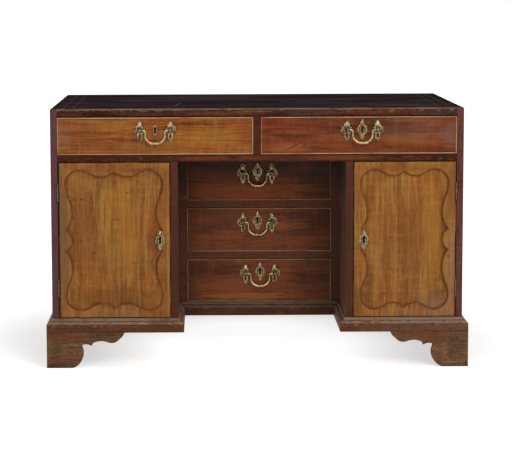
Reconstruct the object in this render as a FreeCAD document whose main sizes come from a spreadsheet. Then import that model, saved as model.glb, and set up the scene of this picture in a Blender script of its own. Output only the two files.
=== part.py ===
import FreeCAD, Part
import math
import os
import re

# Kneehole desk in mahogany: two long drawers across the top, a bank of three short drawers set
# back in the kneehole, and a cupboard with a shaped sunk panel on each side. Millimetres.
# X runs to the desk's right, the front faces -Y, Z is up, and the origin is on the floor under
# the middle of the desk's overall box.

V = FreeCAD.Vector
NEAR = 1e-6
SMOOTH_ANGLE = 1e-4

SIZES = {
    # Carcase
    "desk_height": 787,
    "carcase_width": 1244,
    "carcase_depth": 660,
    "side_thickness": 20,
    "wall_thickness": 22,
    "top_thickness": 25,
    "back_thickness": 14,
    "floor_thickness": 18,
    "left_pedestal_width": 383,
    "right_pedestal_width": 354,
    "kneehole_depth": 264,
    "top_drawer_opening": 114,
    "drawer_rail_height": 22,
    "rail_depth": 62,
    "muntin_width": 21,
    "arris_radius": 4,
    "leather_border": 13,
    "leather_thickness": 1.5,
    # Joinery of the carcase
    "housing_depth": 6,
    "back_rebate": 10,
    "tongue_thickness": 9,
    "tenon_length": 10,
    "tenon_inset": 5,
    # Kneehole drawer frame
    "kneehole_stile": 23,
    "kneehole_rail": 23,
    "frame_depth": 22,
    # Shares of the kneehole drawers' height, the lower drawer taking the rest
    "upper_share": 0.3145,
    "middle_share": 0.3464,
    "guide_height": 30,
    "kicker_width": 45,
    "stop_length": 34,
    "stop_width": 18,
    "stop_height": 5,
    "stop_inset": 70,
    # Cupboard shelves
    "shelf_height": 236,
    "shelf_thickness": 16,
    "shelf_setback": 62,
    "bearer_size": 15,
    # Base moulding and bracket feet
    "foot_height": 108,
    "moulding_height": 42,
    "fascia_height": 24,
    "base_projection": 17,
    "moulding_quirk": 1.5,
    "moulding_fillet": 2,
    "moulding_top": 4,
    "bracket_thickness": 22,
    "bracket_length": 236,
    "back_bracket_length": 150,
    "foot_toe": 78,
    "foot_bulge": 110,
    "bulge_height": 34,
    "knee_reach": 104,
    "wing_drop": 41,
    "corner_block": 42,
    "block_lift": 3,
    # Drawers
    "drawer_clearance": 0.8,
    "drawer_headroom": 1.5,
    "front_thickness": 22,
    "drawer_side": 9,
    "drawer_back": 9,
    "drawer_bottom": 7,
    "bottom_lift": 8,
    "bottom_groove": 4,
    "side_step": 3,
    "back_step": 9,
    "top_drawer_gap": 71,
    "kneehole_drawer_gap": 30,
    "tail_length": 12,
    "tail_flare": 2.4,
    "tail_gap": 5,
    "tail_pitch": 27,
    "bead_thickness": 3.5,
    "bead_depth": 9,
    "bead_projection": 2.5,
    # Doors
    "door_gap": 1.5,
    "door_thickness": 21,
    "door_stile": 47,
    "panel_sink": 6,
    "panel_thickness": 9,
    "panel_margin": 13,
    "lobe_margin": 20,
    "lobe_radius": 45,
    "dip_margin": 40,
    # Shares of half the door's width or height
    "left_dip_share": 0.2308,
    "right_dip_share": 0.2136,
    "neck_share": 0.3552,
    "neck_depth_share": 0.0846,
    "side_cusp_share": 0.1311,
    "cusp_margin": 25,
    "side_cusp_margin": 19,
    "shaped_bead_width": 3,
    "shaped_bead_projection": 1.6,
    "shaped_bead_round": 1.2,
    "door_keyhole_inset": 31,
    # Butt hinges
    "hinge_length": 55,
    "hinge_inset": 62,
    "hinge_proud": 2.8,
    "knuckle_radius": 2.6,
    "knuckle_gap": 0.2,
    "knuckle_clearance": 0.15,
    "leaf_thickness": 1.6,
    "leaf_width": 16,
    "leaf_gap": 0.1,
    "pin_radius": 1.2,
    "pin_clearance": 0.05,
    # Brass handles
    "handle_spacing": 92,
    "post_standoff": 16,
    "ball_radius": 6,
    "neck_radius": 3.4,
    "collar_radius": 6.5,
    "collar_thickness": 2.2,
    "shank_radius": 2.5,
    "shank_clearance": 0.1,
    "nut_width": 12,
    "nut_thickness": 5,
    "shank_tail": 2,
    "plate_thickness": 2,
    "seat_gap": 0.02,
    "plate_rise": 28,
    "plate_drop": 37,
    "plate_reach": 17,
    "plate_inner_reach": 13,
    "boss_radius": 8.5,
    "scroll_width": 5,
    "scroll_tip": 1,
    "scroll_foot": 2,
    "bail_drop": 40,
    "bail_spread": 59,
    "bail_radius": 2.9,
    "bail_pin_radius": 2.2,
    "bail_pin_clearance": 0.05,
    "bail_shoulder_gap": 0.5,
    "bail_elbow": 7.5,
    "bail_corner": 24,
    "grip_half_length": 12,
    "grip_radius": 4.6,
    "grip_waist": 3.5,
    "top_handle_depth": 38,
    "kneehole_handle_depth": 44,
    "kneehole_keyhole_rise": 5,
    "right_handle_offset": 10,
    "upper_handle_offset": -5,
    "lower_handle_offset": 3,
    # Escutcheons and keyholes
    "escutcheon_rise": 28,
    "escutcheon_drop": 32,
    "escutcheon_reach": 15,
    "escutcheon_thickness": 1.6,
    "key_seat_margin": 0.5,
    "keyhole_radius": 4.2,
    "keyhole_slot": 5.6,
    "keyhole_rise": 5,
    "keyhole_drop": 11,
    "liner_rise": 15,
    "liner_drop": 18,
    "liner_half_width": 6.5,
    "liner_thickness": 0.8,
    # Locks
    "lock_width": 56,
    "lock_height": 62,
    "lock_depth": 10,
    "door_lock_width": 60,
    "door_lock_inset": 2,
    "bolt_width": 22,
    "bolt_length": 24,
    "bolt_thickness": 5,
    "bolt_clearance": 0.3,
    "bolt_setback": 0.5,
    "bolt_cover": 3,
    "mortise_depth": 9,
    "mortise_clearance": 0.8,
    # How far a cutting tool runs past the face it cuts
    "overcut": 1,
}

LAYOUT = {
    "half_width": "carcase_width / 2",
    "inner_half": "carcase_width / 2 - side_thickness",
    "handle_reach": "post_standoff + ball_radius",
    "front": "(post_standoff + ball_radius - carcase_depth) / 2",
    "back": "front + carcase_depth",
    "back_inside": "back - back_thickness",
    "floor_top": "foot_height + moulding_height",
    "floor_underside": "floor_top - floor_thickness",
    "top_underside": "desk_height - top_thickness",
    "rail_top": "top_underside - top_drawer_opening",
    "rail_bottom": "rail_top - drawer_rail_height",
    "left_wall_in": "left_pedestal_width - half_width",
    "left_wall_out": "left_wall_in - wall_thickness",
    "right_wall_in": "half_width - right_pedestal_width",
    "right_wall_out": "right_wall_in + wall_thickness",
    "recess_front": "front + kneehole_depth",
    "recess_back": "recess_front + frame_depth",
    "top_drawer_length": "carcase_depth - back_thickness - top_drawer_gap",
    "kneehole_drawer_length": "carcase_depth - kneehole_depth - back_thickness - kneehole_drawer_gap",
    "upper_top": "rail_bottom - kneehole_rail",
    "drawer_space": "rail_bottom - floor_top - 3 * kneehole_rail",
    "upper_floor": "upper_top - drawer_space * upper_share",
    "middle_top": "upper_floor - kneehole_rail",
    "middle_floor": "middle_top - drawer_space * middle_share",
    "lower_top": "middle_floor - kneehole_rail",
    "door_bottom": "floor_top + door_gap",
    "door_top": "rail_bottom - door_gap",
    "door_middle": "(door_bottom + door_top) / 2",
    "door_back": "front + door_thickness",
    "hinge_axis": "front - hinge_proud",
    "shelf_bottom": "floor_top + shelf_height",
    "foot_outside": "half_width + base_projection",
    "foot_front": "front - base_projection",
}

NAMES = {name: "Sizes." + name for name in SIZES}
NAMES.update({name: "Layout." + name for name in LAYOUT})

doc = FreeCAD.newDocument("KneeholeDesk")
nodes = {}


def fill_sheet(title, cells):
    """A sheet with the name of each value in column A and the value, aliased, in column B."""
    sheet = doc.addObject("Spreadsheet::Sheet", title)
    for row, (alias, content) in enumerate(cells.items(), start=1):
        sheet.set(f"A{row}", alias)
        sheet.set(f"B{row}", content)
        sheet.setAlias(f"B{row}", alias)
    doc.recompute()
    return sheet


def ref(formula):
    """The formula with each named value turned into a reference to its sheet."""
    return re.sub(r"[a-z][a-z_]+", lambda word: NAMES.get(word.group(), word.group()), str(formula))


fill_sheet("Sizes", {alias: str(value) for alias, value in SIZES.items()})
layout = fill_sheet("Layout", {alias: "=" + ref(formula) for alias, formula in LAYOUT.items()})


def number(formula):
    return float(layout.evalExpression(ref(formula)))


def between(one, other):
    """Two places as a low and high pair."""
    return tuple(sorted((str(one), str(other)), key=number))


# Helpers that add objects to the document

def bind(thing, **formulas):
    for name, formula in formulas.items():
        thing.setExpression(name, ref(formula))


def move_to(thing, x=0, y=0, z=0):
    for axis, formula in zip("xyz", (x, y, z)):
        thing.setExpression("Placement.Base." + axis, ref(formula))


def block(name, x, y, z):
    """A board between pairs of places along X, Y and Z."""
    board = doc.addObject("Part::Box", name)
    for side, (low, high) in zip(("Length", "Width", "Height"), (x, y, z)):
        board.setExpression(side, ref(f"({high}) - ({low})"))
    move_to(board, x[0], y[0], z[0])
    return board


TURNS = {
    "x": FreeCAD.Rotation(V(0, 1, 0), 90),
    "y": FreeCAD.Rotation(V(1, 0, 0), -90),
    "z": FreeCAD.Rotation(),
}


def rod(name, axis, radius, start, end, x=0, y=0, z=0):
    """A cylinder along one axis from start to end. The other two places fix its line."""
    cylinder = doc.addObject("Part::Cylinder", name)
    cylinder.Placement = FreeCAD.Placement(V(), TURNS[axis])
    bind(cylinder, Radius=radius, Height=f"({end}) - ({start})")
    places = {"x": x, "y": y, "z": z}
    places[axis] = start
    move_to(cylinder, **places)
    return cylinder


def joined(name, *pieces):
    whole = doc.addObject("Part::MultiFuse", name)
    whole.Shapes = list(pieces)
    return whole


def together(name, pieces):
    whole = doc.addObject("Part::Compound", name)
    whole.Links = list(pieces)
    return whole


def cut(name, base, *tools):
    result = doc.addObject("Part::Cut", name)
    result.Base = base
    result.Tool = tools[0] if len(tools) == 1 else together(name + "Tools", tools)
    return result


def common(name, one, other):
    result = doc.addObject("Part::Common", name)
    result.Base = one
    result.Tool = other
    return result


def mirrored(name, source, normal=V(1, 0, 0)):
    result = doc.addObject("Part::Mirroring", name)
    result.Source = source
    result.Normal = normal
    return result


def placed(name, source, x=0, y=0, z=0):
    """A copy of a piece made at the origin, moved to its place."""
    copy = together(name, [source])
    move_to(copy, x, y, z)
    return copy


def rounded(name, base, radius, wanted):
    """Fillets on the edges of base whose middle point passes the test wanted."""
    doc.recompute()
    result = doc.addObject("Part::Fillet", name)
    result.Base = base
    size = number(radius)
    chosen = []
    for index, edge in enumerate(base.Shape.Edges, start=1):
        if wanted(edge.valueAt((edge.FirstParameter + edge.LastParameter) / 2)):
            chosen.append((index, size, size))
    result.Edges = chosen
    return result


PLANES = {
    "front": FreeCAD.Rotation(V(1, 0, 0), 90),
    "side": FreeCAD.Rotation(V(0, 1, 0), V(0, 0, 1), V(1, 0, 0), "XYZ"),
    "plan": FreeCAD.Rotation(),
}
NORMALS = {"front": V(0, 1, 0), "side": V(1, 0, 0), "plan": V(0, 0, 1)}


def sketch(name, plane, *outlines):
    """Closed outlines. Each is a start point, then (x, y) for a line or (mx, my, x, y) for an arc."""
    drawing = doc.addObject("Sketcher::SketchObject", name)
    drawing.Placement = FreeCAD.Placement(V(), PLANES[plane])
    for outline in outlines:
        here = outline[0]
        for step in list(outline[1:]) + [outline[0]]:
            there = step[-2:]
            if len(step) == 4:
                drawing.addGeometry(Part.Arc(V(*here, 0), V(*step[:2], 0), V(*there, 0)), False)
            elif math.dist(here, there) > NEAR:
                drawing.addGeometry(Part.LineSegment(V(*here, 0), V(*there, 0)), False)
            here = there
    return drawing


def pad(name, drawing, plane, start, end):
    """The drawing made solid between two places along its plane's normal."""
    solid = doc.addObject("Part::Extrusion", name)
    solid.Base = drawing
    solid.DirMode = "Custom"
    solid.Dir = NORMALS[plane]
    solid.Solid = True
    solid.setExpression("LengthFwd", ref(f"({end}) - ({start})"))
    axis = {"front": "y", "side": "x", "plan": "z"}[plane]
    solid.setExpression("Placement.Base." + axis, ref(start))
    return solid


def shaped(name, plane, start, end, *outlines):
    return pad(name, sketch(name + "Sketch", plane, *outlines), plane, start, end)


def node(name, *pieces):
    """Keeps a finished piece, or a group of pieces of one kind, under its own name."""
    whole = pieces[0] if len(pieces) == 1 else together(name.title().replace("_", ""), pieces)
    whole.Label = name
    nodes[name] = whole
    return whole


def flip(outline, across):
    """An outline turned left to right about a vertical line."""
    turned = []
    for step in outline:
        turned.append(tuple(2 * across - n if k % 2 == 0 else n for k, n in enumerate(step)))
    return turned


def swing(start, tangent, end):
    """The middle of the arc that leaves start along the tangent and reaches end."""
    chord = (end[0] - start[0], end[1] - start[1])
    turn = math.atan2(chord[1], chord[0]) - math.atan2(tangent[1], tangent[0])
    turn = (turn + math.pi) % (2 * math.pi) - math.pi
    rise = math.tan(turn / 2) / 2
    middle = ((start[0] + end[0]) / 2, (start[1] + end[1]) / 2)
    return (middle[0] + rise * chord[1], middle[1] - rise * chord[0])


def ogee(start, tangent, end):
    """Two equal tangent arcs that leave start and reach end along the same direction."""
    half = ((start[0] + end[0]) / 2, (start[1] + end[1]) / 2)
    first = swing(start, tangent, half)
    second = swing(end, (-tangent[0], -tangent[1]), half)
    return [(*first, *half), (*second, *end)]


# Hinges: a butt hinge at the origin for the left door, its axis upright, half way up

def make_hinges():
    """The fixed leaf, the door's leaf, the pin and the two mortise tools, made at the origin."""
    half = "hinge_length / 2"
    third = "hinge_length / 6"
    gap = "leaf_gap / 2"
    leaf_y = ("0", "hinge_proud + leaf_width")
    mortise_y = ("hinge_proud", "hinge_proud + leaf_width")
    whole = (f"-{half}", half)
    fixed_x = (f"-{gap} - leaf_thickness", f"-{gap}")
    door_x = (gap, f"{gap} + leaf_thickness")
    bore = rod("PinBore", "z", "pin_radius + pin_clearance", f"-{half} - overcut", f"{half} + overcut")
    middle_clear = rod("MiddleRelief", "z", "knuckle_radius + knuckle_clearance",
                       f"-{third} - knuckle_gap / 2", f"{third} + knuckle_gap / 2")
    upper_clear = rod("UpperRelief", "z", "knuckle_radius + knuckle_clearance",
                      f"{third} - knuckle_gap / 2", f"{half} + overcut")
    lower_clear = rod("LowerRelief", "z", "knuckle_radius + knuckle_clearance",
                      f"-{half} - overcut", f"-{third} + knuckle_gap / 2")
    knuckles = rod("FixedKnuckles", "z", "knuckle_radius", *whole)
    fixed_plate = block("FixedPlate", fixed_x, leaf_y, whole)
    fixed_relief = joined("FixedRelief", middle_clear, bore)
    fixed = cut("FixedLeaf", joined("FixedBlank", fixed_plate, knuckles), fixed_relief)
    knuckle = rod("DoorKnuckle", "z", "knuckle_radius",
                  f"-{third} + knuckle_gap / 2", f"{third} - knuckle_gap / 2")
    door_plate = block("DoorPlate", door_x, leaf_y, whole)
    relief = joined("DoorRelief", upper_clear, lower_clear, bore)
    moving = cut("DoorLeaf", joined("DoorBlank", door_plate, knuckle), relief)
    pin = rod("HingePin", "z", "pin_radius", *whole)
    return {
        "fixed": fixed,
        "door": moving,
        "pin": pin,
        "side_mortise": block("SideMortise", fixed_x, mortise_y, whole),
        "door_mortise": block("DoorMortise", door_x, mortise_y, whole),
    }


def make_right_hinges(left):
    return {name: mirrored("Right" + piece.Name, piece) for name, piece in left.items()}


HINGE_HEIGHTS = {
    "Lower": "door_bottom + hinge_inset + hinge_length / 2",
    "Upper": "door_top - hinge_inset - hinge_length / 2",
}


def hang(prefix, piece, hand):
    """The lower and upper copies of a hinge piece at one side of the desk."""
    line = f"{hand} * (inner_half - door_gap / 2)"
    return [
        placed(prefix + which, piece, line, "hinge_axis", height)
        for which, height in HINGE_HEIGHTS.items()
    ]


# Handles, escutcheons and keyholes, made at the origin on a face that looks to -Y

def crescent(top, bulge, bottom, thickness):
    """A C scroll with pointed ends."""
    inner = (bulge[0] - math.copysign(thickness, bulge[0]), bulge[1])
    return [top, (*bulge, *bottom), (*inner, *top)]


def leaf(tip, side, root):
    """A pointed leaf, symmetrical about the upright line."""
    return [tip, (*side, *root), (-root[0], root[1]), (-side[0], side[1], *tip)]


def make_plate():
    """The pierced plate of a handle's left post: finial, boss, two scrolls and a pendant leaf."""
    rise, drop = number("plate_rise"), number("plate_drop")
    outer, inner = number("plate_reach"), number("plate_inner_reach")
    boss = number("boss_radius")
    scroll, tip = number("scroll_width"), number("scroll_tip")
    face = ("-plate_thickness", "-seat_gap")
    finial = leaf((0, rise), (-0.29 * rise, 0.62 * rise), (-0.2 * rise, 0.2 * rise))
    pendant = leaf((0, -drop), (-0.21 * drop, -0.52 * drop), (-0.2 * drop, -0.15 * drop))
    pierced = leaf((0, -0.72 * drop), (-0.085 * drop, -0.46 * drop), (-0.02 * drop, -0.3 * drop))
    outer_foot, inner_foot = (-0.18 * drop, -0.42 * drop), (0.17 * drop, -0.4 * drop)
    outer_scroll = crescent((-tip, 0.55 * rise), (-outer, 0.12 * rise), outer_foot, scroll)
    inner_scroll = crescent((tip, 0.5 * rise), (inner, 0.1 * rise), inner_foot, scroll)
    stub = cut("PendantLeaf", shaped("Pendant", "front", *face, pendant),
               shaped("Piercing", "front", "-plate_thickness - overcut", "overcut", pierced))
    pieces = [
        shaped("Finial", "front", *face, finial),
        shaped("OuterScroll", "front", *face, outer_scroll),
        shaped("InnerScroll", "front", *face, inner_scroll),
        stub,
        rod("Boss", "y", boss, *face),
    ]
    bore = rod("PlateBore", "y", "shank_radius + shank_clearance", "-plate_thickness - overcut", "overcut")
    return cut("HandlePlate", joined("PlateBlank", *pieces), bore)


def make_post():
    """A handle's post: shank, collar, neck and a ball with the eye for the bail."""
    shank = rod("Shank", "y", "shank_radius", "-plate_thickness - collar_thickness",
                "front_thickness + nut_thickness + shank_tail")
    collar = rod("Collar", "y", "collar_radius", "-plate_thickness - collar_thickness", "-plate_thickness")
    neck = rod("Neck", "y", "neck_radius", "-post_standoff", "-plate_thickness")
    ball = doc.addObject("Part::Sphere", "Ball")
    bind(ball, Radius="ball_radius")
    move_to(ball, y="-post_standoff")
    eye = rod("Eye", "x", "bail_pin_radius + bail_pin_clearance",
              "-ball_radius - overcut", "ball_radius + overcut", y="-post_standoff")
    return cut("HandlePost", joined("PostBlank", shank, collar, neck, ball), eye)


def make_nut():
    half = "nut_width / 2"
    wide = (f"-{half}", half)
    depth = ("front_thickness + seat_gap", "front_thickness + nut_thickness")
    blank = block("NutBlank", wide, depth, wide)
    bore = rod("NutBore", "y", "shank_radius + shank_clearance", "front_thickness - overcut",
               "front_thickness + nut_thickness + overcut")
    return cut("HandleNut", blank, bore)


def make_bail():
    """The swan-neck bail, hanging from its pins, with a thicker grip of two lobes."""
    shoulder = number("handle_spacing / 2 - ball_radius - bail_shoulder_gap")
    arm = number("bail_spread / 2")
    drop = number("bail_drop")
    elbow, corner = number("bail_elbow"), number("bail_corner")
    turn = math.sqrt(0.5)
    half = [
        (-shoulder, 0),
        (-arm - elbow, 0),
        (-arm - elbow + elbow * turn, -elbow + elbow * turn, -arm, -elbow),
        (-arm, corner - drop),
        (-arm + corner - corner * turn, corner - drop - corner * turn, -arm + corner, -drop),
        (0, -drop),
    ]
    path = doc.addObject("Sketcher::SketchObject", "BailPath")
    path.Placement = FreeCAD.Placement(V(), PLANES["front"])
    for outline in (half, flip(half, 0)):
        here = outline[0]
        for step in outline[1:]:
            there = step[-2:]
            if len(step) == 4:
                path.addGeometry(Part.Arc(V(*here, 0), V(*step[:2], 0), V(*there, 0)), False)
            else:
                path.addGeometry(Part.LineSegment(V(*here, 0), V(*there, 0)), False)
            here = there
    section = doc.addObject("Part::Circle", "BailSection")
    section.Placement = FreeCAD.Placement(V(-shoulder, 0, 0), TURNS["x"])
    bind(section, Radius="bail_radius")
    doc.recompute()
    bow = doc.addObject("Part::Sweep", "BailBow")
    bow.Sections = [section]
    bow.Spine = (path, [f"Edge{k + 1}" for k in range(len(path.Shape.Edges))])
    bow.Solid = True
    reach, thick = number("grip_half_length"), number("grip_radius")
    waist, thin = number("grip_waist"), number("bail_radius")
    lobes = [
        (-reach, 0),
        (-reach, thin),
        (-reach / 2, thick, 0, waist),
        (reach / 2, thick, reach, thin),
        (reach, 0),
    ]
    grip = doc.addObject("Part::Revolution", "BailGrip")
    grip.Source = sketch("GripSketch", "front", lobes)
    grip.Axis = V(1, 0, 0)
    grip.Solid = True
    move_to(grip, z="-bail_drop")
    inner = "handle_spacing / 2 - ball_radius - bail_shoulder_gap - bail_radius"
    outer = "handle_spacing / 2 + ball_radius - bail_shoulder_gap"
    right_pin = rod("BailRightPin", "x", "bail_pin_radius", inner, outer)
    left_pin = rod("BailLeftPin", "x", "bail_pin_radius", f"-({outer})", f"-({inner})")
    return joined("Bail", bow, grip, right_pin, left_pin)


def make_keyhole():
    """The keyhole as a cutting tool: a round hole with a slot below it, through any front."""
    through = ("-escutcheon_thickness - overcut", "door_thickness")
    hole = rod("KeyholeRound", "y", "keyhole_radius", *through, z="keyhole_rise")
    slot = block("KeyholeSlot", ("-keyhole_slot / 2", "keyhole_slot / 2"), through,
                 ("-keyhole_drop", "keyhole_rise"))
    return joined("Keyhole", hole, slot)


def make_escutcheon(keyhole):
    """A pierced key plate: finial, oval centre, a scroll on each side and a pendant leaf."""
    rise, drop = number("escutcheon_rise"), number("escutcheon_drop")
    reach = number("escutcheon_reach")
    face = ("-escutcheon_thickness", "-seat_gap")
    finial = leaf((0, rise), (-0.2 * rise, 0.66 * rise), (-0.15 * rise, 0.25 * rise))
    pendant = leaf((0, -drop), (-0.22 * drop, -0.66 * drop), (-0.2 * drop, -0.25 * drop))
    centre = leaf((0, 0.42 * rise), (-0.24 * rise, 0), (0, -0.5 * drop))
    width, tip, foot = number("scroll_width"), number("scroll_tip"), number("scroll_foot")
    scroll = crescent((-tip, 0.58 * rise), (-reach, 0.06 * rise), (-foot, -0.56 * drop), width)
    pieces = [
        shaped("KeyFinial", "front", *face, finial),
        shaped("KeyPendant", "front", *face, pendant),
        shaped("KeyCentre", "front", *face, centre),
        shaped("KeyLeftScroll", "front", *face, scroll),
        shaped("KeyRightScroll", "front", *face, flip(scroll, 0)),
    ]
    return cut("Escutcheon", joined("EscutcheonBlank", *pieces), keyhole)


def make_key_seat():
    """The pointed oval under a key plate, where the shaped bead is cut back to the door's face."""
    edge = number("key_seat_margin")
    rise, drop = number("escutcheon_rise") + edge, number("escutcheon_drop") + edge
    reach = number("escutcheon_reach") + edge
    oval = [(0, rise), (-reach, 0, 0, -drop), (reach, 0, 0, rise)]
    return shaped("KeySeat", "front", "-shaped_bead_projection - overcut", "0", oval)


def make_liner(keyhole):
    """The narrow rim left round the top left drawer's keyhole."""
    rise, drop, half = number("liner_rise"), number("liner_drop"), number("liner_half_width")
    waist = 0.6 * half
    outline = [
        (-half, rise - half),
        (0, rise, half, rise - half),
        (waist, -0.1 * drop),
        (0.75 * half, 0.25 * half - drop),
        (0, -drop, -0.75 * half, 0.25 * half - drop),
        (-waist, -0.1 * drop),
    ]
    blank = shaped("LinerBlank", "front", "-liner_thickness", "-seat_gap", outline)
    return cut("KeyholeLiner", blank, keyhole)


# Drawer locks, made at the origin: x at the keyhole, y at the drawer's face, z at the top of its front

def make_drawer_lock():
    half = "lock_width / 2"
    back = "front_thickness"
    case_y = ("front_thickness - lock_depth", back)
    bolt_y = ("front_thickness - bolt_cover - bolt_thickness", "front_thickness - bolt_cover")
    run_y = (bolt_y[0] + " - bolt_clearance", bolt_y[1] + " + bolt_clearance")
    run_x = ("-bolt_width / 2 - bolt_clearance", "bolt_width / 2 + bolt_clearance")
    blank = block("LockBlank", (f"-{half}", half), case_y, ("-lock_height", "0"))
    run = block("BoltRun", run_x, run_y, ("-bolt_length - bolt_setback - bolt_clearance", "overcut"))
    bolt = block("LockBolt", ("-bolt_width / 2", "bolt_width / 2"), bolt_y,
                 ("-bolt_length - bolt_setback", "-bolt_setback"))
    room_x = ("-bolt_width / 2 - mortise_clearance", "bolt_width / 2 + mortise_clearance")
    room_y = (bolt_y[0] + " - mortise_clearance", bolt_y[1] + " + mortise_clearance")
    mortise = block("BoltMortise", room_x, room_y, ("0", "drawer_headroom + mortise_depth"))
    return {"case": cut("LockCase", blank, run), "pocket": blank, "bolt": bolt, "mortise": mortise}


# Drawers

def side_outline(floor, top, face, end):
    """A drawer side with lapped tails into the front, and tails through the back above the bottom."""
    flare, gap = number("tail_flare"), number("tail_gap")
    low, high = number(floor), number(top)
    shoulder, tip = number(f"{face} + front_thickness"), number(f"{face} + front_thickness - tail_length")
    back_tip = number(end)
    back_shoulder = back_tip - number("drawer_back")
    back_low = number(f"{floor} + bottom_lift + drawer_bottom")
    back_high = high - number("back_step") + number("side_step")
    points = [(shoulder, low)]

    def tails(start, stop, root, point):
        count = max(2, round((stop - start) / number("tail_pitch")))
        pitch = (stop - start) / count
        for k in range(count):
            bottom = start + k * pitch + gap / 2
            upper = start + (k + 1) * pitch - gap / 2
            yield [(root, bottom + flare), (point, bottom), (point, upper), (root, upper - flare)]

    for tail in tails(low, high, shoulder, tip):
        points += tail
    points.append((shoulder, high))
    points.append((back_shoulder, high))
    for tail in reversed(list(tails(back_low, back_high, back_shoulder, back_tip))):
        points += reversed(tail)
    points.append((back_shoulder, back_low))
    points.append((back_tip, back_low))
    points.append((back_tip, low))
    return points


def bead_strips(prefix, x, z, face):
    """Four mitred cockbead strips round a drawer front, rounded at the nose."""
    left, right = number(x[0]), number(x[1])
    bottom, top = number(z[0]), number(z[1])
    thick = number("bead_thickness")
    nose, root = number(f"{face} - bead_projection"), number(f"{face} + bead_depth")
    inner = [left + thick, right - thick, bottom + thick, top - thick]
    spring = nose + thick / 2
    depth = (f"{face} - bead_projection - overcut", f"{face} + bead_depth + overcut")
    mitres = {
        "Left": [(left, bottom), (left, top), (inner[0], inner[3]), (inner[0], inner[2])],
        "Right": [(right, bottom), (right, top), (inner[1], inner[3]), (inner[1], inner[2])],
        "Bottom": [(left, bottom), (right, bottom), (inner[1], inner[2]), (inner[0], inner[2])],
        "Top": [(left, top), (right, top), (inner[1], inner[3]), (inner[0], inner[3])],
    }
    strips = []
    for where, mitre in mitres.items():
        if where in ("Left", "Right"):
            start = left if where == "Left" else inner[1]
            section = [
                (start, root),
                (start + thick, root),
                (start + thick, spring),
                (start + thick / 2, nose, start, spring),
            ]
            length = shaped(f"{prefix}{where}Bead", "plan", z[0], z[1], section)
        else:
            start = bottom if where == "Bottom" else inner[3]
            section = [
                (root, start),
                (root, start + thick),
                (spring, start + thick),
                (nose, start + thick / 2, spring, start),
            ]
            length = shaped(f"{prefix}{where}Bead", "side", x[0], x[1], section)
        wedge = shaped(f"{prefix}{where}Mitre", "front", *depth, mitre)
        strips.append(common(f"{prefix}{where}Cockbead", length, wedge))
    return strips


def make_drawer(name, x, floor, ceiling, face, length, handle_depth, key_lift, offset, key_plate, brass):
    """One drawer in the opening x by floor to ceiling, its face at the place given."""
    prefix = name.title().replace("_", "")
    wide = (f"{x[0]} + drawer_clearance", f"{x[1]} - drawer_clearance")
    top = f"{ceiling} - drawer_headroom"
    end = f"{face} + {length}"
    behind = f"{face} + front_thickness"
    middle = f"({x[0]} + {x[1]}) / 2 + {offset}"
    post_height = f"{top} - {handle_depth}"
    key_height = f"{post_height} + {key_lift}"
    keyed = {"x": middle, "y": face, "z": key_height}
    side_top = f"{top} - side_step"
    floor_z = (f"{floor} + bottom_lift", f"{floor} + bottom_lift + drawer_bottom")
    inside = (f"{wide[0]} + drawer_side", f"{wide[1]} - drawer_side")
    bottom = block(prefix + "Bottom", (f"{inside[0]} - bottom_groove", f"{inside[1]} + bottom_groove"),
                   (f"{behind} - bottom_groove", end), floor_z)
    tails = sketch(prefix + "SideSketch", "side", side_outline(floor, side_top, face, end))
    left_blank = pad(prefix + "LeftBlank", tails, "side", wide[0], inside[0])
    right_blank = pad(prefix + "RightBlank", tails, "side", inside[1], wide[1])
    sides = [cut(prefix + "LeftSide", left_blank, bottom), cut(prefix + "RightSide", right_blank, bottom)]
    back_blank = block(prefix + "BackBlank", wide, (f"{end} - drawer_back", end),
                       (floor_z[1], f"{top} - back_step"))
    back = cut(prefix + "Back", back_blank, left_blank, right_blank)

    # The front: a board rebated for the beads, with sockets, groove, lock pocket and bores
    board = block(prefix + "Board", wide, (f"{face} + bead_depth", behind), (floor, top))
    field = block(prefix + "Field", (f"{wide[0]} + bead_thickness", f"{wide[1]} - bead_thickness"),
                  (face, f"{face} + bead_depth"), (f"{floor} + bead_thickness", f"{top} - bead_thickness"))
    holes = [placed(prefix + "KeyBore", brass["keyhole"], **keyed)]
    for side, sign in (("Left", -1), ("Right", 1)):
        place = f"{middle} + {sign} * handle_spacing / 2"
        holes.append(rod(f"{prefix}{side}Bore", "y", "shank_radius + shank_clearance", f"{face} - overcut",
                         f"{behind} + overcut", x=place, z=post_height))
    pocket = placed(prefix + "Pocket", brass["lock"]["pocket"], middle, face, top)
    sockets = joined(prefix + "Sockets", left_blank, right_blank, bottom, pocket, *holes)
    front = cut(prefix + "Front", joined(prefix + "FrontBlank", board, field), sockets)
    node(name + "_front", front, *bead_strips(prefix, wide, (floor, top), face))
    node(name + "_box", *sides, back, bottom)

    handle = {"y": face, "z": post_height}
    left_post, right_post = f"{middle} - handle_spacing / 2", f"{middle} + handle_spacing / 2"
    pieces = [
        placed(prefix + "LeftPlate", brass["left_plate"], left_post, **handle),
        placed(prefix + "RightPlate", brass["right_plate"], right_post, **handle),
    ]
    for side, place in (("Left", left_post), ("Right", right_post)):
        pieces.append(placed(f"{prefix}{side}Post", brass["post"], place, **handle))
        pieces.append(placed(f"{prefix}{side}Nut", brass["nut"], place, **handle))
    pieces.append(placed(prefix + "KeyPlate", brass[key_plate], **keyed))
    node(name + "_brasses", *pieces)
    bail = placed(prefix + "Bail", brass["bail"], middle, f"{face} - post_standoff", post_height)
    node(name + "_bail", bail)
    node(name + "_lock", placed(prefix + "Lock", brass["lock"]["case"], middle, face, top))
    node(name + "_bolt", placed(prefix + "Bolt", brass["lock"]["bolt"], middle, face, top))
    return placed(prefix + "Mortise", brass["lock"]["mortise"], middle, face, top)


# Doors

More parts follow.
